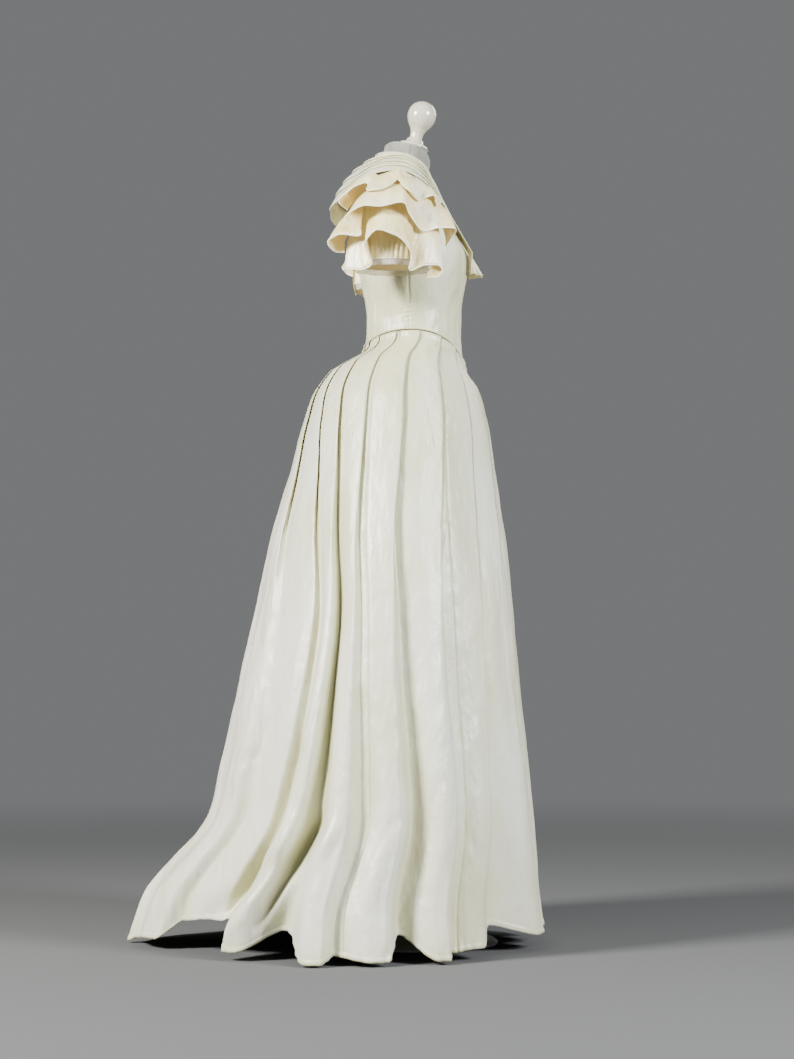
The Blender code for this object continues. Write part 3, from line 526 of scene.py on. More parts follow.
def sleeve_point(around, down):
    """The sleeve's tube, from armhole (0) to hem (1). Around is 0 outside and positive to the front."""
    around, down = np.broadcast_arrays(np.asarray(around, float), np.asarray(down, float))
    turn, hem = sleeve_ring(SLEEVE_TURN, around), sleeve_ring(SLEEVE_HEM, around)
    return bent(armhole_point(around), turn, hem, down[..., None])


def sleeve_polar(points):
    """Points seen from the sleeve's upright axis: their turn about it, height and distance from it."""
    across = points[..., :2] - np.array(SLEEVE_AXIS)
    return np.arctan2(-across[..., 1], across[..., 0]), points[..., 2], np.linalg.norm(across, axis=-1)


def moved_out(points, off):
    """Points moved out from the sleeve's axis."""
    moved = points.copy()
    moved[..., :2] += unit(points[..., :2] - np.array(SLEEVE_AXIS)) * off[..., None]
    return moved


def softened(field, times):
    """A grid of numbers, each averaged with its neighbours along both ways."""
    for _ in range(times):
        for axis in (0, 1):
            ends = [(1, 1) if a == axis else (0, 0) for a in (0, 1)]
            wide = np.pad(field, ends, mode="edge")
            before, here, after = (np.take(wide, range(s, s + field.shape[axis]), axis) for s in (0, 1, 2))
            field = (before + 2 * here + after) / 4
    return field


def lay_over(points, layers):
    """Moves a ruffle out from the sleeve's axis, smoothly, wherever the layers under it stand further out."""
    under_turn, under_z, under_out = sleeve_polar(np.concatenate([layer.reshape(-1, 3) for layer in layers]))
    turn, z, out = sleeve_polar(points)
    push = np.zeros(turn.shape)
    for place in np.ndindex(turn.shape):
        near = np.abs(under_turn - turn[place]) < math.radians(LAYER_WINDOW_DEG)
        near &= np.abs(under_z - z[place]) < LAYER_WINDOW_Z
        if near.any():
            push[place] = max(0.0, under_out[near].max() + LAYER_GAP - out[place])
    push[0] = 0
    return moved_out(points, softened(push, 6))


def ruffle_points(name, around, down, side):
    """A ruffle sewn round the sleeve, its flutes opening from the sewing line to the hem of the table."""
    place = RUFFLE_ROOTS[name]
    fall = slope(lambda at: sleeve_point(around, at), place)
    turn = slope(lambda at: sleeve_point(at, place), around)
    outward = unit(np.cross(turn, fall))
    root = sleeve_point(around, place) + outward * RUFFLE_STAND_OFF
    degrees = np.degrees(around)
    hem = [column(RUFFLES[name], RUFFLE_COLUMNS, n, "root_deg", degrees) for n in RUFFLE_COLUMNS[1:]]
    hem = np.stack(hem, -1)
    if side > 0:
        behind = np.maximum(hem[:, 1] - SLEEVE_AXIS[1], 0)
        hem += behind[:, None] * (1 - LEFT_BACK_REACH) * np.array(LEFT_BACK_SHIFT)
    rise = RUFFLE_RISES[name] * (1 - (1 - RISE_AT_FRONT) * smooth_step(*RISE_EASES_DEG, degrees))
    middle = (root + hem) / 2 + outward * RUFFLE_BULGES[name]
    middle[:, 2] += rise
    return np.array([bent(root, middle, hem, t) for t in down])


def collar_column(name, along):
    """One named column of the collar, 0 at the centre back and 1 at the centre front."""
    values = np.array(COLLAR)[:, COLLAR_COLUMNS.index(name)]
    return curve_through(np.linspace(0, 1, len(COLLAR)), values, along)


def collar_neck(along):
    """The collar's inner edge, close on the form and the bodice."""
    angle = np.radians(collar_column("neck_deg", along))
    return off_torso(angle, collar_column("neck_height", along), COLLAR_SEAT)


def collar_profile():
    """Places across the collar and the cloth's height there: a roll at the neck, then tucks folded under."""
    profile = [(0.0, 0.0), (0.02, 0.75 * COLLAR_ROLL), (COLLAR_ROLL_AT, COLLAR_ROLL)]
    pitch = (1 - COLLAR_ROLL_AT) / COLLAR_PLEATS
    under = ((1 - 0.25 * COLLAR_TUCK_UNDER, 0.6), (1 - COLLAR_TUCK_UNDER, 0.15))
    for pleat in range(COLLAR_PLEATS):
        start = COLLAR_ROLL_AT + pleat * pitch
        for part, lift in COLLAR_PLEAT + (under if pleat < COLLAR_PLEATS - 1 else ()):
            profile.append((start + part * pitch, lift * COLLAR_PLEAT_HEIGHT))
    return profile


def collar_points(along):
    """Rows of the collar, from the neck out to its edge, in columns along it."""
    neck = collar_neck(along)
    edge = np.stack([collar_column(f"edge_{axis}", along) for axis in "xyz"], -1)
    normal = unit(np.cross(slope(collar_neck, along), edge - neck))
    normal *= np.sign((normal * (neck - np.array(COLLAR_INSIDE))).sum(-1))[..., None]
    narrow = np.clip(np.linalg.norm(edge - neck, axis=-1, keepdims=True) / COLLAR_FULL_WIDTH, 0, 1)
    bulge = collar_column("bulge", along)[:, None] * COLLAR_BULGE
    rows = []
    for place, height in collar_profile():
        raised = narrow * height + bulge * 4 * place * (1 - place)
        rows.append(neck + (edge - neck) * place + normal * raised)
    return np.array(rows)


def tail_points(end, downs):
    """The fanned tail that runs on from the collar's end column, down to a wavy hem."""
    across = np.linspace(0, 1, len(end))[:, None]
    inner, outer = np.array(TAIL_HEM_INNER), np.array(TAIL_HEM_OUTER)
    hem = inner + (outer - inner) * across
    face = unit(np.cross(unit(hem[-1] - hem[0]), np.array((0, 0, -1.0))))
    wave = TAIL_WAVE_DEPTH * np.cos(2 * np.pi * TAIL_WAVES * across)
    return np.stack([end + (hem - end) * down + face * (wave * down) for down in downs], 1)


def dragged(points):
    """How far the train's drag folds stand in or out: a valley with a ridge under it."""
    total = np.zeros(points.shape[:-1])
    for row in DRAGS:
        drag = dict(zip(DRAG_COLUMNS, row))
        start = np.array((drag["from_y"], drag["from_z"]))
        way = np.array((drag["to_y"], drag["to_z"])) - start
        length = np.linalg.norm(way)
        way /= length
        offset = points[..., 1:] - start
        along = (offset @ way) / length
        across = (offset @ np.array((way[1], -way[0]))) / drag["width"]
        within = smooth_step(-0.1, 0.25, along) * (1 - smooth_step(0.7, 1.1, along))
        total += drag["depth"] * within * (0.7 * bell(across - 1.6) - bell(across))
    return total * smooth_step(0.0, 0.06, -points[..., 0])


def swells(points, size, stretch, draws, count=16):
    """A smooth random field over points, about -1 to 1, whose swells are this many metres across."""
    total = np.zeros(points.shape[:-1])
    for _ in range(count):
        direction = unit(draws.normal(size=3)) * np.array(stretch) * draws.uniform(0.7, 1.5) / size
        total += np.sin(2 * np.pi * ((points @ direction) + draws.uniform(0, 1)))
    return total / math.sqrt(count / 2)


def creased(points, size, depth, stretch, seed):
    """How far cloth stands in or out: patches of narrow creases on soft swells."""
    draws = np.random.RandomState(seed)
    line = swells(points, size, stretch, draws)
    patch = smooth_step(-0.4, 0.9, swells(points, 3 * size, stretch, draws))
    soft = swells(points, 1.6 * size, stretch, draws)
    return depth * (0.45 * soft - patch * bell(line / 0.20))


def running_length(points, axis=0):
    """Lengths along one way of a line or grid of points, from 0 at its start."""
    lengths = np.cumsum(np.linalg.norm(np.diff(points, axis=axis), axis=-1), axis)
    return np.concatenate([0 * np.take(lengths, [0], axis), lengths], axis)


def seam_dip(along):
    """How far each point is from the nearer end of its row, and how far cloth dips into the seam there."""
    from_seam = np.minimum(along, along[..., -1:] - along)
    return from_seam, SEAM_DIP * bell(from_seam / SEAM_DIP_WIDTH)


def quads(grid):
    """The four corners of each cell of a grid."""
    return np.stack([grid[:-1, :-1], grid[:-1, 1:], grid[1:, 1:], grid[1:, :-1]], 2)


def smooth_mesh(name, points, faces):
    mesh = bpy.data.meshes.new(name)
    mesh.from_pydata(np.reshape(points, (-1, 3)).tolist(), [], faces)
    mesh.shade_smooth()
    return mesh


def grid_mesh(name, points, closed=False):
    """A mesh over a grid of points. Its UVs are lengths across and down it in metres, for the weave."""
    index = np.arange(points.shape[0] * points.shape[1]).reshape(points.shape[:2])
    wrapped = points
    if closed:
        index, wrapped = (np.concatenate([grid, grid[:, :1]], 1) for grid in (index, points))
    mesh = smooth_mesh(name, points, quads(index).reshape(-1, 4).tolist())
    across = running_length(wrapped, 1)
    across = across - across[:, across.shape[1] // 2, None]
    uv = np.stack([across, -running_length(wrapped)], -1)
    mesh.uv_layers.new(name="cloth").data.foreach_set("uv", quads(uv).astype(np.float32).ravel())
    return mesh


def put_in(name, data):
    """A new object of the scene."""
    made = bpy.data.objects.new(name, data)
    bpy.context.scene.collection.objects.link(made)
    return made


def add_piece(name, mesh, look, replaces=()):
    made = put_in(name, mesh)
    for material in look if isinstance(look, tuple) else (look,):
        mesh.materials.append(material)
    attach(made, "root")
    if replaces:
        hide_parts(*replaces)
    return made


def cloth(name, points, thickness, look, replaces=(), closed=False):
    """A sheet of cloth over a grid of points, with a thin wall. A second look goes on the inner face."""
    made = add_piece(name, grid_mesh(name, points, closed), look, replaces)
    wall = made.modifiers.new("wall", "SOLIDIFY")
    wall.thickness = thickness
    wall.offset = 0.0
    wall.use_rim = True
    if isinstance(look, tuple):
        wall.material_offset = 1
    return made


def tube_mesh(name, line, radius, sides, closed=False):
    """A round cord along a line of points, with closed ends unless it is a ring."""
    if closed:
        forward = unit(np.roll(line, -1, 0) - np.roll(line, 1, 0))
    else:
        forward = unit(np.gradient(line, axis=0))
    side = np.zeros_like(line)
    across = np.array((0.0, 0.0, 1.0))
    for i, direction in enumerate(forward):
        across = across - direction * np.dot(across, direction)
        across = across / max(np.linalg.norm(across), 1e-9)
        side[i] = across
    other = np.cross(forward, side)
    turns = np.linspace(0, 2 * np.pi, sides, endpoint=False)[:, None]
    rings = line[:, None] + radius * (np.cos(turns) * side[:, None] + np.sin(turns) * other[:, None])
    index = np.arange(len(line) * sides).reshape(-1, sides)
    around = np.concatenate([index, index[:, :1]], 1)
    if closed:
        return smooth_mesh(name, rings, quads(np.concatenate([around, around[:1]])).reshape(-1, 4).tolist())
    ends = [index[0].tolist()[::-1], index[-1].tolist()]
    return smooth_mesh(name, rings, quads(around).reshape(-1, 4).tolist() + ends)


def turned_mesh(name, profile, steps=96):
    """A profile of (radius, height), top to bottom, turned about the Z axis."""
    turns = np.linspace(0, 2 * np.pi, steps, endpoint=False)
    radius, height = np.array(profile[1:-1], float).T[..., None]
    points = np.stack([radius * np.cos(turns), radius * np.sin(turns), height + 0 * turns], -1)
    points = points.reshape(-1, 3).tolist()
    index = np.arange(len(points)).reshape(-1, steps)
    around = np.concatenate([index, index[:, :1]], 1)
    faces = quads(around)[..., [0, 3, 2, 1]].reshape(-1, 4).tolist()
    for ring, end, way in ((around[0], profile[0], 1), (around[-1], profile[-1], -1)):
        pairs = zip(ring[:-1].tolist(), ring[1:].tolist())
        faces += [(*pair[::way], len(points)) for pair in pairs]
        points.append([0.0, 0.0, end[1]])
    mesh = smooth_mesh(name, points, faces)
    mesh.set_sharp_from_angle(angle=math.radians(50))
    return mesh


def rounded_profile(profile, steps=6):
    """The same turned profile with its middle points joined by a smooth curve."""
    points = np.array(profile, float)
    lengths = running_length(points)
    last_round = len(points) - 3
    spans = zip(lengths[:last_round], lengths[1:last_round + 1])
    fine = np.concatenate([np.linspace(a, b, steps, endpoint=False) for a, b in spans])
    smooth = np.stack([curve_through(lengths, points[:, i], fine) for i in (0, 1)], -1)
    smooth[:, 0] = np.maximum(smooth[:, 0], 0)
    return smooth.tolist() + points[last_round:].tolist()


class Look:
    """A procedural material: its nodes are added from the Principled shader backwards."""

    def __init__(self, name, roughness, **settings):
        self.material = bpy.data.materials.new(name)
        self.material.use_nodes = True
        self.tree = self.material.node_tree
        self.shader = self.tree.nodes["Principled BSDF"]
        self.shader.inputs["Roughness"].default_value = roughness
        for key, value in settings.items():
            self.shader.inputs[key.replace("_", " ")].default_value = value
        self.place = self.tree.nodes.new("ShaderNodeTexCoord")

    def node(self, kind, inputs, **settings):
        made = self.tree.nodes.new(kind)
        for key, value in settings.items():
            setattr(made, key, value)
        for key, value in inputs.items():
            if isinstance(value, bpy.types.NodeSocket):
                self.tree.links.new(value, made.inputs[key])
            else:
                made.inputs[key].default_value = value
        return made

    def feed(self, value, socket):
        self.tree.links.new(value, self.shader.inputs[socket])

    def maths(self, operation, *values):
        return self.node("ShaderNodeMath", dict(enumerate(values)), operation=operation).outputs[0]

    def apart(self, vector):
        return self.node("ShaderNodeSeparateXYZ", {"Vector": vector}).outputs

    def noise(self, scale, detail=3.0, stretch=None, where="Object"):
        vector = self.place.outputs[where]
        if stretch:
            vector = self.node("ShaderNodeMapping", {"Vector": vector, "Scale": stretch}).outputs[0]
        inputs = {"Vector": vector, "Scale": scale, "Detail": detail}
        return self.node("ShaderNodeTexNoise", inputs).outputs[0]

    def waves(self, period, direction):
        """Bands across one direction of the cloth, this many metres apart."""
        scale = 2 * math.pi / 20 / period
        inputs = {"Vector": self.place.outputs["UV"], "Scale": scale, "Distortion": 0.6, "Detail": 1.0}
        return self.node("ShaderNodeTexWave", inputs, bands_direction=direction).outputs["Fac"]

    def spread(self, value, low, high, start=0.0, end=1.0, **settings):
        """A number that runs from start to end, spread between two others."""
        inputs = {"Value": value, "From Min": start, "From Max": end, "To Min": low, "To Max": high}
        return self.node("ShaderNodeMapRange", inputs, **settings).outputs[0]

    def colours(self, value, stops):
        made = self.node("ShaderNodeValToRGB", {"Fac": value})
        ramp = made.color_ramp
        while len(ramp.elements) < len(stops):
            ramp.elements.new(0.5)
        for element, (position, colour) in zip(ramp.elements, stops):
            element.position = position
            element.color = (*colour, 1.0)
        self.feed(made.outputs[0], "Base Color")

    def rough(self, value, low, high):
        self.feed(self.spread(value, low, high), "Roughness")

    def bump(self, *layers):
        """Layers of (height, depth in metres, strength), one laid over another."""
        inputs = {}
        for height, depth, strength in layers:
            inputs.update({"Height": height, "Distance": depth, "Strength": strength})
            inputs["Normal"] = self.node("ShaderNodeBump", inputs).outputs[0]
        self.feed(inputs["Normal"], "Normal")


def satin(name, lit, shade, roughness=0.38, drape=1.0, cloud=5.0, painted_glow=0.0, fold=1.0):
    """Heavy satin: fine warp floats along the cloth, slubs across it, soft creases and an uneven sheen. Painted
    shade darkens its folds and pushes its colour towards the shade tone higher up, and painted_glow makes it
    emit painted light.

    Drape is how deep its creases are, cloud how small its patches of tone, fold how strong the painted shade in
    its folds is, painted_glow how strongly it emits painted light.
    """
    look = Look(
        name, roughness, Sheen_Weight=0.25, Sheen_Roughness=0.35, Specular_IOR_Level=0.75, Anisotropic=0.5,
        # Painted light: the satin emits its shade colour at painted_glow strength, though it is no lamp
        Emission_Color=(*shade, 1.0), Emission_Strength=painted_glow,
    )
    height = look.apart(look.place.outputs["Object"])["Z"]
    cloudy = look.noise(cloud, 4.0, (1.0, 1.0, 0.45))
    # Painted shade higher up: the tone is pushed towards the shade colour from the lower height to the upper
    patches = look.maths("SUBTRACT", cloudy, look.spread(height, 0.0, HIGH_PAINTED_SHADE, *HIGH_PAINTED_SHADE_HEIGHTS))
    # Painted shade in folds: ambient occlusion pushes the colour down the ramp to a darker fold shade colour
    fold_shade_occlusion = look.node("ShaderNodeAmbientOcclusion", {"Distance": PAINTED_FOLD_SHADE_REACH}, samples=8)
    value_with_painted_shade = look.maths("SUBTRACT", patches, look.spread(fold_shade_occlusion.outputs["AO"], PAINTED_FOLD_SHADE * fold, 0.0))
    deep = tuple(c * f for c, f in zip(shade, PAINTED_FOLD_SHADE_TONE))
    look.colours(value_with_painted_shade, ((0.02, deep), (0.34, shade), (0.56, lit)))
    look.rough(look.noise(18.0, 4.0, (1.0, 1.0, 0.2)), roughness - 0.07, roughness + 0.10)
    strength = min(drape, 1.0)
    look.bump(
        (look.noise(14.0, 3.0, (1.0, 1.0, 0.20)), 0.019, 0.60 * strength),
        (look.noise(60.0, 4.0, (1.0, 1.0, 0.5)), 0.0050 * drape, 0.50 * strength),
        (look.waves(SATIN_PITCH, "X"), 0.00006, 0.35),
        (look.noise(900.0, 2.0, (1.0, 0.12, 1.0), "UV"), 0.00008, 0.3),
    )
    return look.material


def knit(name, lit, shade):
    """The form's jersey cover: matt, with fine ribs."""
    look = Look(name, 0.85, Sheen_Weight=0.3, Sheen_Roughness=0.6)
    look.colours(look.noise(55.0, 5.0), ((0.32, shade), (0.66, lit)))
    look.bump((look.noise(140.0, 4.0), 0.0006, 0.4), (look.waves(0.0012, "Y"), 0.0001, 0.5))
    return look.material


def lacquer(name, lit, shade):
    look = Look(name, 0.16, Coat_Weight=0.6, Coat_Roughness=0.08)
    look.colours(look.noise(30.0, 4.0), ((0.35, shade), (0.65, lit)))
    look.rough(look.noise(80.0, 4.0), 0.16, 0.28)
    look.bump((look.noise(60.0, 3.0), 0.0004, 0.1))
    return look.material


def painted_steel(name, lit, shade):
    look = Look(name, 0.35, Metallic=0.6)
    look.colours(look.noise(40.0, 5.0), ((0.3, shade), (0.7, lit)))
    look.rough(look.noise(120.0, 4.0), 0.3, 0.45)
    look.bump((look.noise(300.0, 4.0), 0.0002, 0.2))
    return look.material


def painted_floor(name, near, far, strength):
    """A pale matt floor that fades into the studio's background with distance."""
    look = Look(name, 0.8, Specular_IOR_Level=0.0, Emission_Color=(*far, 1.0))
    place = {0: look.place.outputs["Object"]}
    away = look.node("ShaderNodeVectorMath", place, operation="LENGTH").outputs["Value"]
    fade = look.spread(away, 0.0, 1.0, *FLOOR_FADES, interpolation_type="SMOOTHSTEP")
    look.colours(fade, ((0.0, near), (1.0, (0.0, 0.0, 0.0))))
    look.feed(look.spread(fade, 0.0, strength), "Emission Strength")
    look.bump((look.noise(250.0, 3.0), 0.0003, 0.2))
    return look.material


def netting(name, colour):
    """Fine net: diamond meshes of thread with air between them."""
    look = Look(name, 0.7, Base_Color=(*colour, 1.0))
    turned = {"Rotation": (0.0, 0.0, math.radians(45)), "Scale": (NET_PER_METRE,) * 3}
    turned["Vector"] = look.place.outputs["UV"]
    apart = look.apart(look.node("ShaderNodeMapping", turned).outputs[0])
    threads = [look.maths("LESS_THAN", look.maths("FRACT", apart[axis]), NET_THREAD) for axis in "XY"]
    look.feed(look.maths("MAXIMUM", *threads), "Alpha")
    look.colours(look.noise(60.0, 2.0), ((0.3, tuple(0.9 * c for c in colour)), (0.7, colour)))
    return look.material


def edge_spaced(count):
    """Numbers from 0 to 1, closer together near both ends."""
    return (1 - np.cos(np.pi * np.linspace(0, 1, count))) / 2


def make_form():
    turns = np.radians(np.arange(0, 360, 2.5))
    rings = []
    for row in np.linspace(TORSO_LOW, TORSO_HIGH, TORSO_ROWS):
        height = np.full_like(turns, row)
        rings.append(off_torso(turns, height, -BUST_INSET * over_bust(height)[:, None]))
    across = NECK_CENTRE_Y - NECK_DOME_RADIUS * np.cos(turns)
    dome = [NECK_DOME_RADIUS * np.sin(turns), across, NECK_TOP_Z + NECK_SLOPE * (across - NECK_CENTRE_Y)]
    dome = np.stack(dome, -1)
    edge = rings[-1]
    for t in (0.25, 0.5, 0.75, 1.0):
        ring = edge + (dome - edge) * t
        ring[:, 2] = edge[:, 2] + (dome[:, 2] - edge[:, 2]) * math.sin(math.pi / 2 * t)
        rings.append(ring)
    mesh = grid_mesh("form_cover", np.array(rings[::-1]), closed=True)
    body = add_piece("form_cover", mesh, COVER, ("form_torso",))
    fill_ends(mesh, len(turns))
    for name, node, profile in (
        ("form_cap_turned", "form_neck_cap", rounded_profile(CAP_PROFILE, 4)),
        ("form_finial_turned", "form_finial", rounded_profile(FINIAL_PROFILE)),
    ):
        piece = add_piece(name, turned_mesh(name, profile), LACQUER, (node,))
        piece.location = (0.0, NECK_CENTRE_Y, NECK_TOP_Z)
        piece.rotation_euler = (math.atan(NECK_SLOPE), 0.0, 0.0)
    heights = np.linspace(TORSO_LOW, TORSO_HIGH, 120)
    angles = np.radians(np.full_like(heights, COVER_SEAM_DEG))
    line = off_torso(angles, heights, (COVER_SEAM_STAND - BUST_INSET * over_bust(heights))[:, None])
    for side, end in SIDES:
        mesh = tube_mesh(f"form_seam_{end}", line * mirrored(side), COVER_SEAM_RADIUS, 6)
        add_piece(f"form_seam_{end}", mesh, COVER_SEAM)
    for name in ("form_pole", "form_base"):
        nodes[name].data.materials.clear()
        nodes[name].data.materials.append(STEEL)


def fill_ends(mesh, columns):
    """Closes the first and last rings of a lofted mesh."""
    shape = bmesh.new()
    shape.from_mesh(mesh)
    shape.verts.ensure_lookup_table()
    shape.faces.new(shape.verts[:columns])
    shape.faces.new(shape.verts[len(shape.verts) - columns:][::-1])
    bmesh.ops.recalc_face_normals(shape, faces=shape.faces)
    shape.to_mesh(mesh)
    shape.free()
    mesh.shade_smooth()


def bodice_grid(degrees, side, rows=84):
    """A panel of the bodice between two seams, dipping into each seam and a little at the dart."""
    angle = np.radians(degrees)
    low = waist_height(angle) + SEAM_GAP / 2
    high = column(BODICE_TOP, BODICE_TOP_COLUMNS, "height", "angle_deg", np.abs(degrees))
    heights = low + (high - low) * edge_spaced(rows)[:, None]
    angles = angle + 0 * heights
    turn = np.abs(angles)
    points = torso_point(angles, heights)
    from_seam, dip = seam_dip(running_length(points[rows // 2]))
    dart = DART_DEPTH * bell((np.abs(degrees) - DART_DEG) / DART_WIDTH_DEG)
    dart = dart * (1 - smooth_step(DART_TOP - DART_FADE, DART_TOP, heights))
    seam_pull = SEAM_PULL * np.cos(heights * 700 + 9 * turn) * np.exp(-from_seam / SEAM_PULL_REACH)
    swell = BODICE_SWELL * np.sin(heights * 95 + turn * 7 + side) * np.sin(turn * 11 - heights * 38)
    creases = np.maximum(creased(points * mirrored(side), *BODICE_CREASES), -BODICE_CREASE_MOST)
    offset = form_clearance(heights) + BODICE_WALL / 2 - dip - dart + seam_pull + swell + creases
    points = points + torso_normal(angles, heights) * offset[..., None]
    return (points * mirrored(side))[::-1]


def bodice_piece(name, degrees, side):
    made = cloth(f"{name}_cloth", bodice_grid(degrees, side), SATIN_THICKNESS, SATIN, (name,))


def make_bodice():
    front, side_seam, back = BODICE_SEAMS_DEG
    bodice_piece("bodice_front", -front + 2 * front * edge_spaced(60), 1)
    for side, end in SIDES:
        for name, start, finish in (
            ("bodice_side_front", front, side_seam),
            ("bodice_side_back", side_seam, back),
            ("bodice_back", back, 180),
        ):
            count = int((finish - start) * 1.1) + 8
            bodice_piece(f"{name}_{end}", start + (finish - start) * edge_spaced(count), side)


def make_piping():
    turns = np.radians(np.arange(0, 360, 1.25))
    height = waist_height(turns) + PIPING_RADIUS + 2 * SEAM_GAP
    line = off_torso(turns, height, FORM_CLEARANCE + BODICE_WALL + REST_GAP + PIPING_RADIUS)
    mesh = tube_mesh("waist_piping_cord", line, PIPING_RADIUS, 14, closed=True)
    add_piece("waist_piping_cord", mesh, SATIN, ("waist_piping",))


def skirt_rows():
    """Places down the skirt, closer together at the waist and at the hem's step."""
    parts = (
        np.linspace(0, 0.10, 24),
        np.linspace(0.10, 0.94, 86),
        np.linspace(0.94, 0.985, 8),
        (0.988, 0.9905, 0.9912, 0.9940, 0.9970, 1.0),
    )
    return np.unique(np.concatenate(parts).round(6))


def fold_stations(index):
    """Stations of one fold, with a few more beside a seam."""
    stations = np.concatenate([np.linspace(0, HOLLOW_AT, 17), np.linspace(HOLLOW_AT, 1, 11)[1:-1]])
    if index in SKIRT_SEAM_FOLDS:
        stations = np.concatenate([stations, SEAM_AT + np.array((-0.016, -0.006, 0.006, 0.016))])
    return np.unique(stations.round(6))


def skirt_columns(first, last, side):
    """Columns of the skirt from one (fold, station) to another."""
    down = skirt_rows()
    places = ((index, station) for index in range(first[0], last[0] + 1) for station in fold_stations(index))
    return [skirt_point(*place, down, side) for place in places if first <= place <= last]


def sewn(points):
    """Creases and drag folds, dips at both side seams, puckers at the waist and the doubled, stitched hem."""
    normal = unit(np.cross(np.gradient(points, axis=1), np.gradient(points, axis=0)))
    outward = points - np.array((0, 0.08, 0))
    outward[..., 2] = 0
    normal *= np.sign((normal * outward).sum(-1).mean())
    eased = smooth_step(0.0, 0.25, 1 - points[..., 2] / points[0, :, 2])
    fall_in = creased(points, *SKIRT_CREASES) + creased(points, *SKIRT_FINE_CREASES)
    points = points + unit(outward) * (eased * fall_in + dragged(points))[..., None]
    along, down = running_length(points, 1), running_length(points)
    _, dip = seam_dip(along)
    to_hem = down[-1:] - down
    hem = HEM_STEP * (to_hem < HEM_DEPTH) * smooth_step(-0.0005, 0.001, to_hem)
    pitch, reach = HEM_PUCKERS
    hem_pucker = PUCKER * np.sin(along * 2 * np.pi / pitch + 2 * np.sin(along * 31)) * np.exp(-to_hem / reach)
    pitch, reach = WAIST_PUCKERS
    waist_pucker = 0.5 * PUCKER * np.sin(along * 2 * np.pi / pitch) * np.exp(-down / reach)
    waist_pucker = waist_pucker * smooth_step(0, 0.004, down)
    return points + normal * (hem + hem_pucker + waist_pucker - dip)[..., None]


def make_skirt():
    front, middle, back = ((fold, SEAM_AT) for fold in SKIRT_SEAM_FOLDS)
    start, last_fold = (0, 0.0), len(FOLDS) - 2
    end = (last_fold, 0.999)
    panels = {"skirt_front": skirt_columns(start, front, -1)[::-1] + skirt_columns(start, front, 1)[1:]}
    for side, word in SIDES:
        panels[f"skirt_side_front_{word}"] = skirt_columns(front, middle, side)
        panels[f"skirt_side_back_{word}"] = skirt_columns(middle, back, side)
    centre_back = skirt_point(last_fold, 1.0, skirt_rows(), 1)
    panels["skirt_back"] = skirt_columns(back, end, -1) + [centre_back] + skirt_columns(back, end, 1)[::-1]
    stitches = []
    for name, columns in panels.items():
        grid = sewn(np.stack(columns, 1))
        made = cloth(f"{name}_cloth", grid, SATIN_THICKNESS, SATIN, (name,))
        stitches.append(stitch_points(grid))
    points = np.concatenate(stitches)
    faces = []
    for first in range(0, len(points), STITCH_SIDES + 2):
        for k in range(STITCH_SIDES):
            a, b = first + 2 + k, first + 2 + (k + 1) % STITCH_SIDES
            faces += [(first, b, a), (first + 1, a, b)]
    add_piece("skirt_hem_stitches", smooth_mesh("skirt_hem_stitches", points, faces), THREAD)


def stitch_points(grid):
    """Spindle-shaped stitches along the top of the hem, on the outer face: each has two ends and a ring."""
    down = running_length(grid[:, 0])
    row = int(np.searchsorted(down, down[-1] - HEM_DEPTH * 0.8))
    line, fall = grid[row], unit(grid[row + 1] - grid[row - 1])
    lengths = running_length(line)
    starts = np.arange(STITCH_PITCH / 2, lengths[-1] - STITCH_PITCH, STITCH_PITCH)

    def read(values, at):
        return np.stack([np.interp(at, lengths, values[:, i]) for i in range(3)], -1)

    start, end = read(line, starts), read(line, starts + STITCH_LENGTH)
    forward = unit(end - start)
    normal = unit(np.cross(forward, read(fall, starts)))
    outward = start - np.array((0, 0.10, 0))
    normal *= np.sign(np.sign((normal * outward)[:, :2].sum(-1)).mean())
    other = np.cross(forward, normal)
    middle = (start + end) / 2 + normal * SATIN_THICKNESS / 2
    half = forward * STITCH_LENGTH / 2
    turns = [2 * math.pi * k / STITCH_SIDES for k in range(STITCH_SIDES)]
    ring = [middle + (math.cos(t) * normal + math.sin(t) * other) * STITCH_RADIUS for t in turns]
    return np.stack([middle - half, middle + half, *ring], 1).reshape(-1, 3)


def make_sleeves():
    turns = np.radians(np.arange(0, 360, 1.0))
    downs = np.unique(np.concatenate([np.linspace(0, 0.6, 16), np.linspace(0.6, 1.0, 40)]))
    tube = np.array([sleeve_point(turns, t) for t in downs])
    outward = np.stack([np.cos(turns), -np.sin(turns), 0 * turns], -1)
    gather = np.cos(GATHERS * turns + 1.3 * np.sin(5 * turns)) * (0.75 + 0.25 * np.sin(3 * turns + 1))
    for row, t in enumerate(downs):
        depth = GATHER_DEPTH * smooth_step(0.64, 0.78, t) * (1 - 0.5 * smooth_step(0.9, 1.0, t))
        tube[row] += outward * (depth * gather)[:, None]
    round_outside = np.radians(np.arange(-120, 121, 2))
    for side, end in SIDES:
        layers = [np.array([sleeve_point(round_outside, t) for t in np.linspace(0, 1, 41)])]
        ruffles = {}
        for name, rows in RUFFLES.items():
            around = np.radians(np.linspace(rows[0][0], rows[-1][0], 301))
            points = lay_over(ruffle_points(name, around, np.linspace(0, 1, 26), side), layers)
            ruffles[name] = gathered(points, around)
            layers.append(ruffles[name])
        hung = tube * mirrored(side)
        if side > 0:
            hung[..., 2] += LEFT_HEM_LIFT * downs[:, None] ** 2
        sleeve_sheet(f"sleeve_{end}", hung, side, closed=True)
        for name, points in ruffles.items():
            sleeve_sheet(f"{name}_{end}", points * mirrored(side), side)
        make_net(side, end)


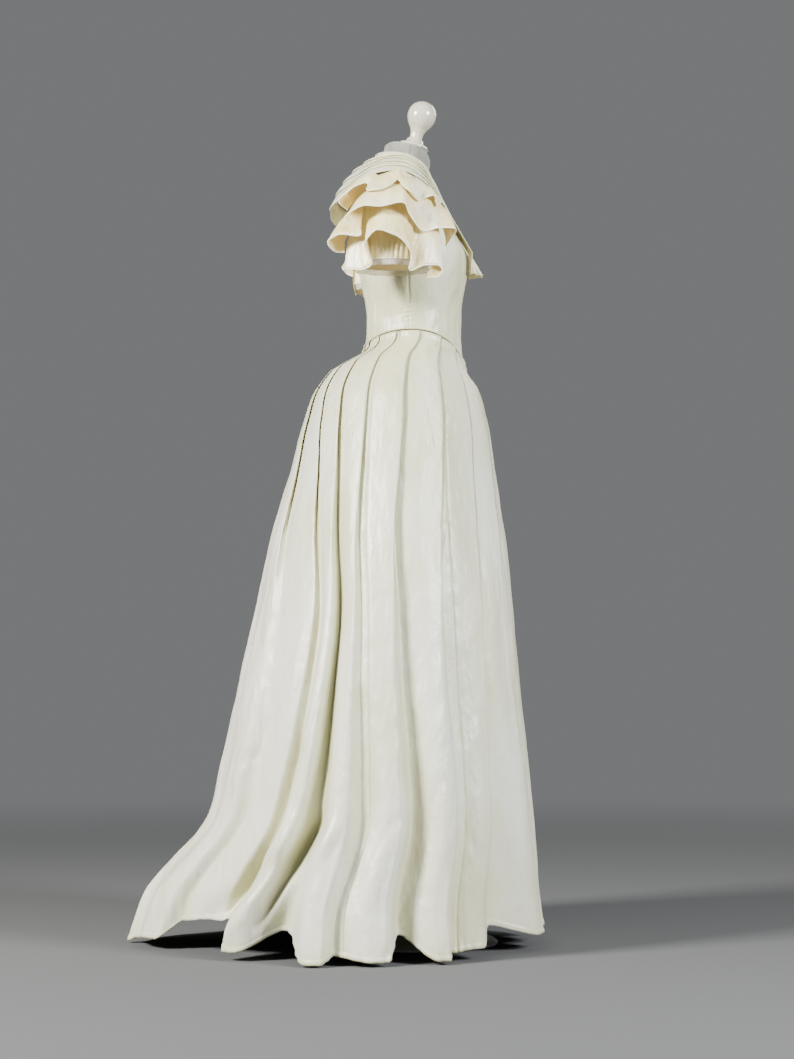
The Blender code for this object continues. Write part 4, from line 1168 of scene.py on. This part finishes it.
def sleeve_sheet(name, points, side, closed=False):
    """A ruffle or a sleeve's tube with its rolled hem, facing outward on its side."""
    hem = tube_mesh(f"{name}_hem", points[-1], RUFFLE_HEM_RADIUS, 7, closed)
    hem = add_piece(f"{name}_hem", hem, ROLLED_HEM)
    # The inner face has painted light: a golden colour and a stronger emission stand in for light through the
    # thin satin
    looks = (RUFFLE, RUFFLE_INSIDE_PAINTED_LIGHT)
    made = cloth(f"{name}_cloth", points[:, ::side], RUFFLE_THICKNESS, looks, (name,), closed)


def gathered(points, around):
    """Fine gathers at a ruffle's sewing line, dying out down its depth, and its creases."""
    part = np.linspace(0, 1, len(points))[:, None]
    depth = RUFFLE_GATHER_DEPTH * (1 - smooth_step(0.05, 0.6, part)) * smooth_step(0.0, 0.06, part)
    creases = creased(points, *RUFFLE_CREASES) * smooth_step(0.05, 0.3, part)
    return moved_out(points, creases + depth * np.cos(70 * around + 2 * np.sin(9 * around)))


def make_net(side, end):
    """The net frill at the sleeve's hem."""
    turns = np.radians(np.arange(0, 360, 1.5))
    hem = sleeve_point(turns, 1.0)
    hem[:, 2] += LEFT_HEM_LIFT if side > 0 else 0
    outward = np.stack([np.cos(turns), -np.sin(turns), 0 * turns], -1)
    rows = []
    for at in np.linspace(0, 1, 9):
        reach = NET_FLARE * at + NET_WAVE_DEPTH * at * np.cos(NET_WAVES * turns)
        row = hem + outward * reach[:, None]
        row[:, 2] -= SEAM_GAP + NET_DROP * at
        rows.append(row)
    name = f"sleeve_net_{end}"
    points = np.array(rows) * mirrored(side)
    made = cloth(f"{name}_cloth", points, NET_THICKNESS, NET, (name,), closed=True)


def make_collar():
    left = collar_points(np.linspace(0, 1, 190))
    left = np.concatenate([left, tail_points(left[:, -1], np.linspace(0, 1, 26)[1:])], 1)
    grid = np.concatenate([left[:, :0:-1] * mirrored(-1), left], 1)
    edge = tube_mesh("collar_edge_roll", grid[-1], COLLAR_EDGE_RADIUS, 7)
    roll = add_piece("collar_edge_roll", edge, SATIN)
    # The collar's inner face is the cream ruffle satin, which emits painted light
    made = cloth("collar_cloth", grid, SATIN_THICKNESS, (SATIN, RUFFLE), ("collar",))


def aim(thing, place, target):
    """Puts a light or the camera at a place, facing a target."""
    thing.location = place
    thing.rotation_euler = (Vector(target) - Vector(place)).to_track_quat("-Z", "Y").to_euler()


def make_studio():
    world = bpy.data.worlds.new("studio")
    bpy.context.scene.world = world
    world.use_nodes = True
    background = world.node_tree.nodes["Background"]
    background.inputs[0].default_value = (*BACKGROUND, 1.0)
    background.inputs[1].default_value = BACKGROUND_STRENGTH
    mesh = bpy.data.meshes.new("floor")
    corners = [(x * FLOOR_HALF, y * FLOOR_HALF, 0) for x, y in ((-1, -1), (1, -1), (1, 1), (-1, 1))]
    mesh.from_pydata(corners, [], [(0, 1, 2, 3)])
    mesh.materials.append(FLOOR)
    put_in("floor", mesh)
    for name, place, target, size, power, colour in LIGHTS:
        light = bpy.data.lights.new(name, "AREA")
        light.shape = "RECTANGLE"
        light.size = light.size_y = size
        light.energy = power
        light.color = colour
        aim(put_in(name, light), place, target)
    lens = bpy.data.cameras.new("camera")
    lens.lens = CAMERA_LENS
    lens.sensor_width = CAMERA_FRAME
    lens.sensor_fit = "AUTO"
    camera = put_in("camera", lens)
    aim(camera, CAMERA_PLACE, CAMERA_TARGET)
    bpy.context.scene.camera = camera


# Every satin below has painted shade in its folds and higher up; those given painted_glow also emit painted
# light
SATIN = satin("ivory_satin", (0.68, 0.675, 0.575), (0.59, 0.59, 0.385))
# Cream ruffle satin: it emits a little painted light, and its folds get less painted shade
RUFFLE = satin(
    "cream_satin", (0.77, 0.735, 0.53), (0.72, 0.625, 0.31),
    roughness=0.31, drape=1.7, cloud=16.0, painted_glow=0.10, fold=0.4,
)
# Inner face of the ruffles: its golden colour and stronger emission are painted light through the cloth, with
# little painted shade in folds
RUFFLE_INSIDE_PAINTED_LIGHT = satin(
    "cream_satin_inside_painted_light", (0.78, 0.67, 0.34), (0.74, 0.57, 0.22),
    roughness=0.36, drape=1.7, cloud=16.0, painted_glow=0.24, fold=0.3,
)
# Rolled hems emit a little painted light
ROLLED_HEM = satin("rolled_hem", (0.88, 0.86, 0.73), (0.84, 0.80, 0.62), roughness=0.30, drape=0.2, painted_glow=0.08)
THREAD = satin("hem_thread", (0.70, 0.69, 0.60), (0.64, 0.62, 0.52), roughness=0.5, drape=0.2)
COVER = knit("jersey_cover", (0.21, 0.212, 0.17), (0.16, 0.162, 0.125))
COVER_SEAM = knit("cover_seam", (0.16, 0.16, 0.14), (0.12, 0.12, 0.10))
LACQUER = lacquer("cream_lacquer", (0.54, 0.515, 0.41), (0.50, 0.47, 0.36))
STEEL = painted_steel("white_steel", (0.78, 0.78, 0.76), (0.70, 0.70, 0.68))
NET = netting("silk_net", (0.80, 0.79, 0.72))
FLOOR = painted_floor("studio_floor", FLOOR_NEAR, BACKGROUND, BACKGROUND_STRENGTH)
make_form()
make_bodice()
make_piping()
make_skirt()
make_sleeves()
make_collar()
make_studio()
